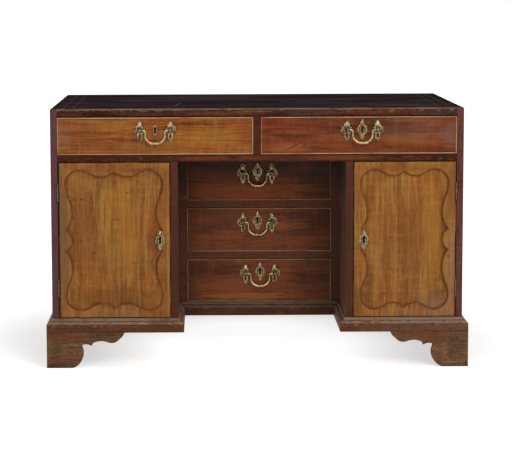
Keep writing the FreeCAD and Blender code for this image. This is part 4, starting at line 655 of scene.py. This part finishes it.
def scroll(mesh, start, heading, stride, bends, girth):
    """A tapering cast scroll in the plate's plane, grown ring by ring. Sizes in millimetres.

    It starts at (x, z) and heads at an angle from +X; bends are the turns from ring to ring and girth
    the radius of each ring.
    """
    centre = Vector((start[0], 0, start[1]))
    upright = Matrix.Translation(centre) @ Matrix.Rotation(math.pi / 2 - heading, 4, "Y")
    made = bmesh.ops.create_circle(mesh, cap_ends=True, segments=8, radius=girth[0], matrix=upright)
    face = made["verts"][0].link_faces[0]
    for k, bend in enumerate(bends):
        grown = bmesh.ops.extrude_face_region(mesh, geom=[face])["geom"]
        if k:
            # The extrusion leaves its starting face, which closes the scroll only at its first end
            bmesh.ops.delete(mesh, geom=[face], context="FACES_ONLY")
        ring = [g for g in grown if isinstance(g, bmesh.types.BMVert)]
        face = next(g for g in grown if isinstance(g, bmesh.types.BMFace))
        heading += bend
        move = Vector((math.cos(heading), 0, math.sin(heading))) * stride
        bmesh.ops.translate(mesh, verts=ring, vec=move)
        centre = centre + move
        bmesh.ops.rotate(mesh, verts=ring, cent=centre, matrix=Matrix.Rotation(-bend, 3, "Y"))
        bmesh.ops.scale(mesh, verts=ring, vec=[girth[k + 1] / girth[k]] * 3,
                        space=Matrix.Translation(-centre))


def bud(mesh, foot, width, height, depth, lean=0.0, petals=5):
    """A fluted bud with a pointed tip, standing on (x, z). Sizes in millimetres."""
    made = bmesh.ops.create_uvsphere(mesh, u_segments=2 * petals, v_segments=9, radius=1)["verts"]
    for vert in made:
        taper = 1 - 0.75 * max(0, vert.co.z) ** 1.5
        flute = 1 + 0.16 * math.cos(petals * math.atan2(vert.co.y, vert.co.x))
        vert.co.x *= taper * flute
        vert.co.y *= taper * flute
    bmesh.ops.scale(mesh, verts=made, vec=(width / 2, depth, height / 2))
    bmesh.ops.translate(mesh, verts=made, vec=(0, 0, height / 2))
    bmesh.ops.rotate(mesh, verts=made, cent=(0, 0, 0), matrix=Matrix.Rotation(lean, 3, "Y"))
    bmesh.ops.translate(mesh, verts=made, vec=(foot[0], 0, foot[1]))


def rosette(mesh, inner, outer, depth, petals):
    """A ring of rounded petals about a post. Sizes in millimetres."""
    petal = bmesh.ops.create_uvsphere(mesh, u_segments=8, v_segments=6, radius=1)["verts"]
    middle = (inner + outer) / 2
    size = ((outer - inner) / 2, depth / 2, 0.9 * math.pi * middle / petals)
    bmesh.ops.scale(mesh, verts=petal, vec=size)
    bmesh.ops.translate(mesh, verts=petal, vec=(middle, 0, 0))
    faces = list(dict.fromkeys(face for vert in petal for face in vert.link_faces))
    edges = list(dict.fromkeys(edge for vert in petal for edge in vert.link_edges))
    bmesh.ops.spin(mesh, geom=petal + edges + faces, cent=(0, 0, 0), axis=(0, 1, 0), steps=petals - 1,
                   angle=2 * math.pi * (petals - 1) / petals, use_duplicate=True)


def handle_ornament(mesh, brass):
    """The cast ornament of a left handle plate about its post, in millimetres, before it is placed."""
    bud(mesh, (0, 7.5), brass.bud_width / MM, brass.bud_height / MM, 3.4)
    bud(mesh, (-3.6, 8), 5.5, 10, 2.4, -0.55, 4)
    bud(mesh, (3.6, 8), 5.5, 10, 2.4, 0.55, 4)
    rosette(mesh, 6.6, 9.2, 3.6, 9)
    # Outer scroll: a long C with a curled end, then a short leaf tip thrown outwards
    scroll(mesh, (-4, 12.5), math.radians(200), 2.6, [0.1, 0.3, 0.32, 0.3, 0.25, 0.2, 0.2, 0.25, 0.35, 0.5],
           [0.7, 1.5, 2, 2.2, 2.2, 2.1, 1.9, 1.7, 1.4, 1.1, 0.5])
    scroll(mesh, (-15.5, -2), math.radians(240), 1.8, [0.05, -0.3, -0.35, -0.3], [1.6, 1.5, 1.2, 0.8, 0.2])
    scroll(mesh, (-14, 6), math.radians(150), 1.6, [-0.2, -0.25, -0.3], TIP)
    # Inner scroll, shorter, with a pointed wing
    scroll(mesh, (3.5, 11.5), math.radians(-15), 2.3, [-0.25, -0.38, -0.4, -0.38, -0.3, -0.25, -0.3, -0.4],
           [0.7, 1.4, 1.8, 1.9, 1.8, 1.6, 1.3, 1, 0.5])
    scroll(mesh, (11, 4), math.radians(20), 1.7, [0.12, 0.15, 0.1], TIP)
    # Pendant leaf: two ribs that meet in a point on each side of the piercing, and side leaflets
    for side in (-1, 1):
        scroll(mesh, (side * 2.6, -8), DOWN + side * 0.28, 3,
               [side * b for b in (0.12, 0.02, -0.12, -0.16, -0.2, -0.14, -0.06, 0)],
               [1.6, 2, 2.2, 2.1, 1.8, 1.5, 1.2, 0.9, 0.4])
        scroll(mesh, (side * 4.4, -9.5), DOWN + side * 0.7, 1.9,
               [side * b for b in (0.1, 0.25, 0.3, 0.35)], [1.3, 1.4, 1.2, 0.8, 0.2])
    bud(mesh, (0, -12.5), 3.4, 5, 2.2, 0, 3)


def key_ornament(mesh):
    """The cast ornament round a keyhole, in millimetres, before it is placed; its right wing is longer."""
    bud(mesh, (0, 15), 8, 15, 2.6)
    for side, wing in ((-1, 1.2), (1, 2.2)):
        bud(mesh, (side * 2.2, 15.5), 4, 9, 2, side * 0.6, 4)
        # The side scroll, from the bud round to the foot, and the leaf tips thrown off it
        scroll(mesh, (side * 2.2, 15), math.radians(90) - side * math.radians(95), 2.7,
               [-side * b for b in (0.2, 0.3, 0.28, 0.22, 0.18, 0.18, 0.22, 0.26, 0.3, 0.34)],
               [0.8, 1.4, 1.7, 1.8, 1.8, 1.7, 1.6, 1.5, 1.3, 1, 0.5])
        scroll(mesh, (side * 10.6, 5), math.radians(90) - side * math.radians(50), wing,
               [side * b for b in (0.15, 0.2, 0.2)], [1.4, 1.3, 0.9, 0.2])
        scroll(mesh, (side * 9.5, -4), DOWN + side * math.radians(35), 1.7,
               [side * b for b in (0.2, 0.3, 0.3)], TIP)
        # The rim of the keyhole
        scroll(mesh, (side * 4.4, 11), DOWN + side * 0.5, 2.3,
               [-side * b for b in (0.12, 0.16, 0.18, 0.18, 0.14, 0.1, 0.05)],
               [0.5, 1, 1.2, 1.2, 1.2, 1.1, 0.9, 0.4])
        scroll(mesh, (side * 5.5, -9), DOWN - side * 0.2, 2,
               [-side * b for b in (0.1, 0.15, 0.15, 0.1)], [0.8, 1.3, 1.3, 1, 0.4])
    scroll(mesh, (-2.4, -15), math.radians(-60), 2.3, [0.1, -0.35, -0.45, -0.3, 0.1, 0.35, 0.3],
           [1, 1.7, 1.9, 1.8, 1.6, 1.3, 0.9, 0.3])
    bud(mesh, (1.5, -18), 4, 6, 1.8, 2.6, 4)


def bail_sleeve(mesh, brass):
    """The swelling of a bail on each side of its grip, in millimetres about the foot of its bow."""
    half_grip, stride = 6, 3.2
    bend = stride * MM / brass.bow_radius
    for side, heading in ((-1, math.pi), (1, 0)):
        scroll(mesh, (side * half_grip, 0), heading, stride, [side * bend] * 9,
               [4.1, 4.4, 4.4, 4.3, 4.1, 3.9, 3.6, 3.3, 2.9, 2.5])


def put(name, data):
    """A new object in the scene."""
    made = bpy.data.objects.new(name, data)
    bpy.context.scene.collection.objects.link(made)
    return made


def cast(name, body, slot, build, placements, scale=MM):
    """One piece of several castings: each is built, scaled and set at a point with a hand of 1 or -1."""
    data = bpy.data.meshes.new(name)
    mesh = bmesh.new()
    for point, hand in placements:
        part = bmesh.new()
        build(part)
        bmesh.ops.scale(part, verts=part.verts, vec=(hand * scale, scale, scale))
        bmesh.ops.translate(part, verts=part.verts, vec=point)
        bmesh.ops.remove_doubles(part, verts=part.verts, dist=MERGE_DISTANCE)
        bmesh.ops.recalc_face_normals(part, faces=part.faces)
        part.to_mesh(data)
        part.free()
        mesh.from_mesh(data)
    for face in mesh.faces:
        face.smooth = slot == "brass"
    mesh.to_mesh(data)
    mesh.free()
    data.materials.append(bpy.data.materials[CASTINGS[slot]])
    piece = put(name, data)
    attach(piece, body)


def handle_middle(drawer, brass):
    """The point half way between a handle's posts on the drawer's face."""
    low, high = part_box(drawer + "_bail")
    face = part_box(drawer + "_front")[0].y + COCKBEAD_PROUD
    return Vector(((low.x + high.x) / 2, face, high.z - brass.bail_radius))


class DESK_OT_handle_ornament(bpy.types.Operator):
    """Lay the cast buds, scrolls and leaves over the handle plates"""
    bl_idname = "desk.handle_ornament"
    bl_label = "Make the handle ornament"

    def execute(self, context):
        brass = context.scene.desk_brass
        for drawer in DRAWERS:
            middle = handle_middle(drawer, brass)
            middle.y -= brass.plate_face
            reach = Vector((brass.handle_spacing / 2, 0, 0))
            cast(drawer + "_handle_ornament", drawer, "brass", lambda part: handle_ornament(part, brass),
                 [(middle - reach, 1), (middle + reach, -1)])
        return {"FINISHED"}


class DESK_OT_bail_sleeves(bpy.types.Operator):
    """Thicken the bows of the bails beside their grips"""
    bl_idname = "desk.bail_sleeves"
    bl_label = "Make the bail sleeves"

    def execute(self, context):
        brass = context.scene.desk_brass
        for drawer in DRAWERS:
            low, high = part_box(drawer + "_bail")
            foot = (low + high) / 2
            # The grip is the thickest part, so its radius is half the bail's depth
            foot.z = low.z + (high.y - low.y) / 2
            cast(drawer + "_bail_sleeve", drawer + "_bail", "brass",
                 lambda part: bail_sleeve(part, brass), [(foot, 1)])
        return {"FINISHED"}


class DESK_OT_key_ornament(bpy.types.Operator):
    """Lay the cast ornament over the key plates"""
    bl_idname = "desk.key_ornament"
    bl_label = "Make the key plate ornament"

    def execute(self, context):
        brass = context.scene.desk_brass
        for drawer in DRAWERS[1:]:
            point = handle_middle(drawer, brass)
            point.y -= brass.key_face
            if "kneehole" in drawer:
                point.z += brass.key_lift
            cast(drawer + "_key_ornament", drawer, "brass", key_ornament, [(point, 1)])
        for door, hand in zip(DOORS, (1, -1)):
            low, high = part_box(door + "_escutcheon")
            point = Vector(((low.x + high.x) / 2, high.y - brass.key_face, low.z + brass.key_drop))
            cast(door + "_key_ornament", door, "brass", key_ornament, [(point, hand)])
        return {"FINISHED"}


def screw_head(mesh, brass):
    """A slotted round screw head on the origin that faces +Y."""
    made = bmesh.ops.create_circle(mesh, cap_ends=True, segments=16, radius=brass.screw_radius)["verts"]
    grown = bmesh.ops.extrude_face_region(mesh, geom=made[0].link_faces[:])["geom"]
    rim = [item for item in grown if isinstance(item, bmesh.types.BMEdge)]
    upper = [item for item in grown if isinstance(item, bmesh.types.BMVert)]
    bmesh.ops.translate(mesh, verts=upper, vec=(0, 0, brass.screw_rise))
    bmesh.ops.bevel(mesh, geom=rim, offset=brass.screw_rise / 2, segments=2, profile=0.5, affect="EDGES",
                    material=-1)
    for side in (-1, 1):
        for half in (SLOT_FLOOR, SLOT_RIM):
            everything = mesh.verts[:] + mesh.edges[:] + mesh.faces[:]
            bmesh.ops.bisect_plane(mesh, geom=everything, plane_co=(0, side * half * brass.screw_radius, 0),
                                   plane_no=(0, 1, 0))
    reach = (SLOT_FLOOR + SLOT_RIM) / 2 * brass.screw_radius
    slot = [vert for vert in mesh.verts if vert.co.z > 0.4 * brass.screw_rise and abs(vert.co.y) < reach]
    bmesh.ops.translate(mesh, verts=slot, vec=(0, 0, -0.5 * brass.screw_rise))
    bmesh.ops.rotate(mesh, verts=mesh.verts, cent=(0, 0, 0), matrix=Matrix.Rotation(-math.pi / 2, 3, "X"))


class DESK_OT_lock_screws(bpy.types.Operator):
    """Drive four slotted screws into the back of each lock"""
    bl_idname = "desk.lock_screws"
    bl_label = "Make the lock screws"

    def execute(self, context):
        brass = context.scene.desk_brass
        for holder in DRAWERS + DOORS:
            low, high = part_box(holder + "_lock")
            edge = brass.screw_inset
            places = [(Vector((x, high.y, z)), 1) for x in (low.x + edge, high.x - edge)
                      for z in (low.z + edge, high.z - edge)]
            cast(holder + "_lock_screws", holder, "lock_iron", lambda part: screw_head(part, brass), places,
                 scale=1)
        return {"FINISHED"}


def seen_directly(tree):
    """1 for what the camera sees, also in a mirror or through glass, and 0 for light on the desk."""
    seen = add(tree, "LightPath", out="Is Camera Ray")
    for ray in ("Is Glossy Ray", "Is Transmission Ray"):
        seen = add(tree, "Math", {0: seen, 1: add(tree, "LightPath", out=ray)}, operation="MAXIMUM")
    return seen


class DESK_OT_stage(bpy.types.Operator):
    """Set the floor, the light and the camera"""
    bl_idname = "desk.stage"
    bl_label = "Set the stage"

    def execute(self, context):
        stage = context.scene.desk_stage
        scene = context.scene
        scene.view_settings.view_transform = "Standard"

        mesh = bmesh.new()
        bmesh.ops.create_grid(mesh, x_segments=1, y_segments=1, size=FLOOR_HALF)
        data = bpy.data.meshes.new("floor")
        mesh.to_mesh(data)
        mesh.free()
        floor = put("floor", data)
        # To the camera the floor glows under the desk as painted light over the desk's own shadow, is dim in
        # a ring round it as a painted shadow, and white further off
        middle, ring, beyond = 0.25, 0.6, 1.4
        lit, dim = 0.9, 0.56
        paper, tree, place = begin("paper_backdrop")
        away = add(tree, "VectorMath", {0: place}, "Value", operation="LENGTH")
        near = add(tree, "MapRange", {"Value": away, "From Min": middle, "From Max": ring, "To Min": lit,
                                      "To Max": dim}, interpolation_type="SMOOTHSTEP")
        far = add(tree, "MapRange", {"Value": away, "From Min": ring, "From Max": beyond, "To Min": dim},
                  interpolation_type="SMOOTHSTEP")
        level = add(tree, "Math", {0: near, 1: far}, operation="MAXIMUM")
        level = add(tree, "Math", {0: level, 1: seen_directly(tree)}, operation="MULTIPLY")
        matt = add(tree, "BsdfDiffuse", {"Color": stage.paper})
        glow = add(tree, "Emission", {"Color": (1, 1, 1), "Strength": level})
        add(tree, "OutputMaterial", {"Surface": add(tree, "AddShader", {0: matt, 1: glow})})
        data.materials.append(paper)

        world = bpy.data.worlds.new("studio")
        scene.world = world
        world.use_nodes = True
        tree = world.node_tree
        tree.nodes.clear()
        level = add(tree, "MapRange", {"Value": seen_directly(tree), "To Min": stage.sky})
        glow = add(tree, "Background", {"Color": (1, 1, 1), "Strength": level})
        add(tree, "OutputWorld", {"Surface": glow})

        aim = Vector((0, -0.2, 0.4))
        lamps = {
            "key_lamp": ((1.9, -3.7, 2.9), stage.key_power, 2.4),
            "fill_lamp": ((-2.0, -4.2, 1.9), stage.fill_power, 2.2),
            "top_lamp": ((0, -1.2, 3.4), stage.top_power, 2.6),
        }
        for name, (place, power, size) in lamps.items():
            lamp = bpy.data.lights.new(name, "AREA")
            lamp.energy = power
            lamp.size = size
            holder = put(name, lamp)
            holder.location = place
            holder.rotation_euler = (aim - Vector(place)).to_track_quat("-Z", "Y").to_euler()

        camera = bpy.data.cameras.new("camera")
        camera.lens = stage.lens
        camera.shift_x, camera.shift_y = stage.shift
        # A camera looks down and is first raised to the horizon
        turn = (Matrix.Rotation(-stage.yaw, 4, "Z") @ Matrix.Rotation(math.pi / 2 - stage.pitch, 4, "X")
                @ Matrix.Rotation(-stage.roll, 4, "Z"))
        holder = put("camera", camera)
        holder.matrix_world = Matrix.Translation(stage.eye) @ turn
        scene.camera = holder
        return {"FINISHED"}


OPERATORS = (DESK_OT_carcase, DESK_OT_drawers, DESK_OT_doors, DESK_OT_metalwork, DESK_OT_handle_ornament,
             DESK_OT_bail_sleeves, DESK_OT_key_ornament, DESK_OT_lock_screws, DESK_OT_stage)


class DESK_PT_panel(bpy.types.Panel):
    """The steps that dress the desk, in order"""
    bl_idname = "DESK_PT_panel"
    bl_label = "Kneehole desk"
    bl_space_type = "VIEW_3D"
    bl_region_type = "UI"
    bl_category = "Desk"

    def draw(self, context):
        for operator in OPERATORS:
            self.layout.operator(operator.bl_idname)


SETTINGS = {"desk_finishes": DeskFinishes, "desk_brass": DeskBrass, "desk_stage": DeskStage}
CLASSES = (*SETTINGS.values(), *OPERATORS, DESK_PT_panel)


def register():
    for item in CLASSES:
        bpy.utils.register_class(item)
    for name, group in SETTINGS.items():
        setattr(bpy.types.Scene, name, bpy.props.PointerProperty(type=group))


def unregister():
    for name in SETTINGS:
        delattr(bpy.types.Scene, name)
    for item in reversed(CLASSES):
        bpy.utils.unregister_class(item)


def main():
    register()
    bpy.ops.desk.carcase()
    bpy.ops.desk.drawers()
    bpy.ops.desk.doors()
    bpy.ops.desk.metalwork()
    bpy.ops.desk.handle_ornament()
    bpy.ops.desk.bail_sleeves()
    bpy.ops.desk.key_ornament()
    bpy.ops.desk.lock_screws()
    bpy.ops.desk.stage()
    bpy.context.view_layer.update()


if __name__ == "__main__":
    main()
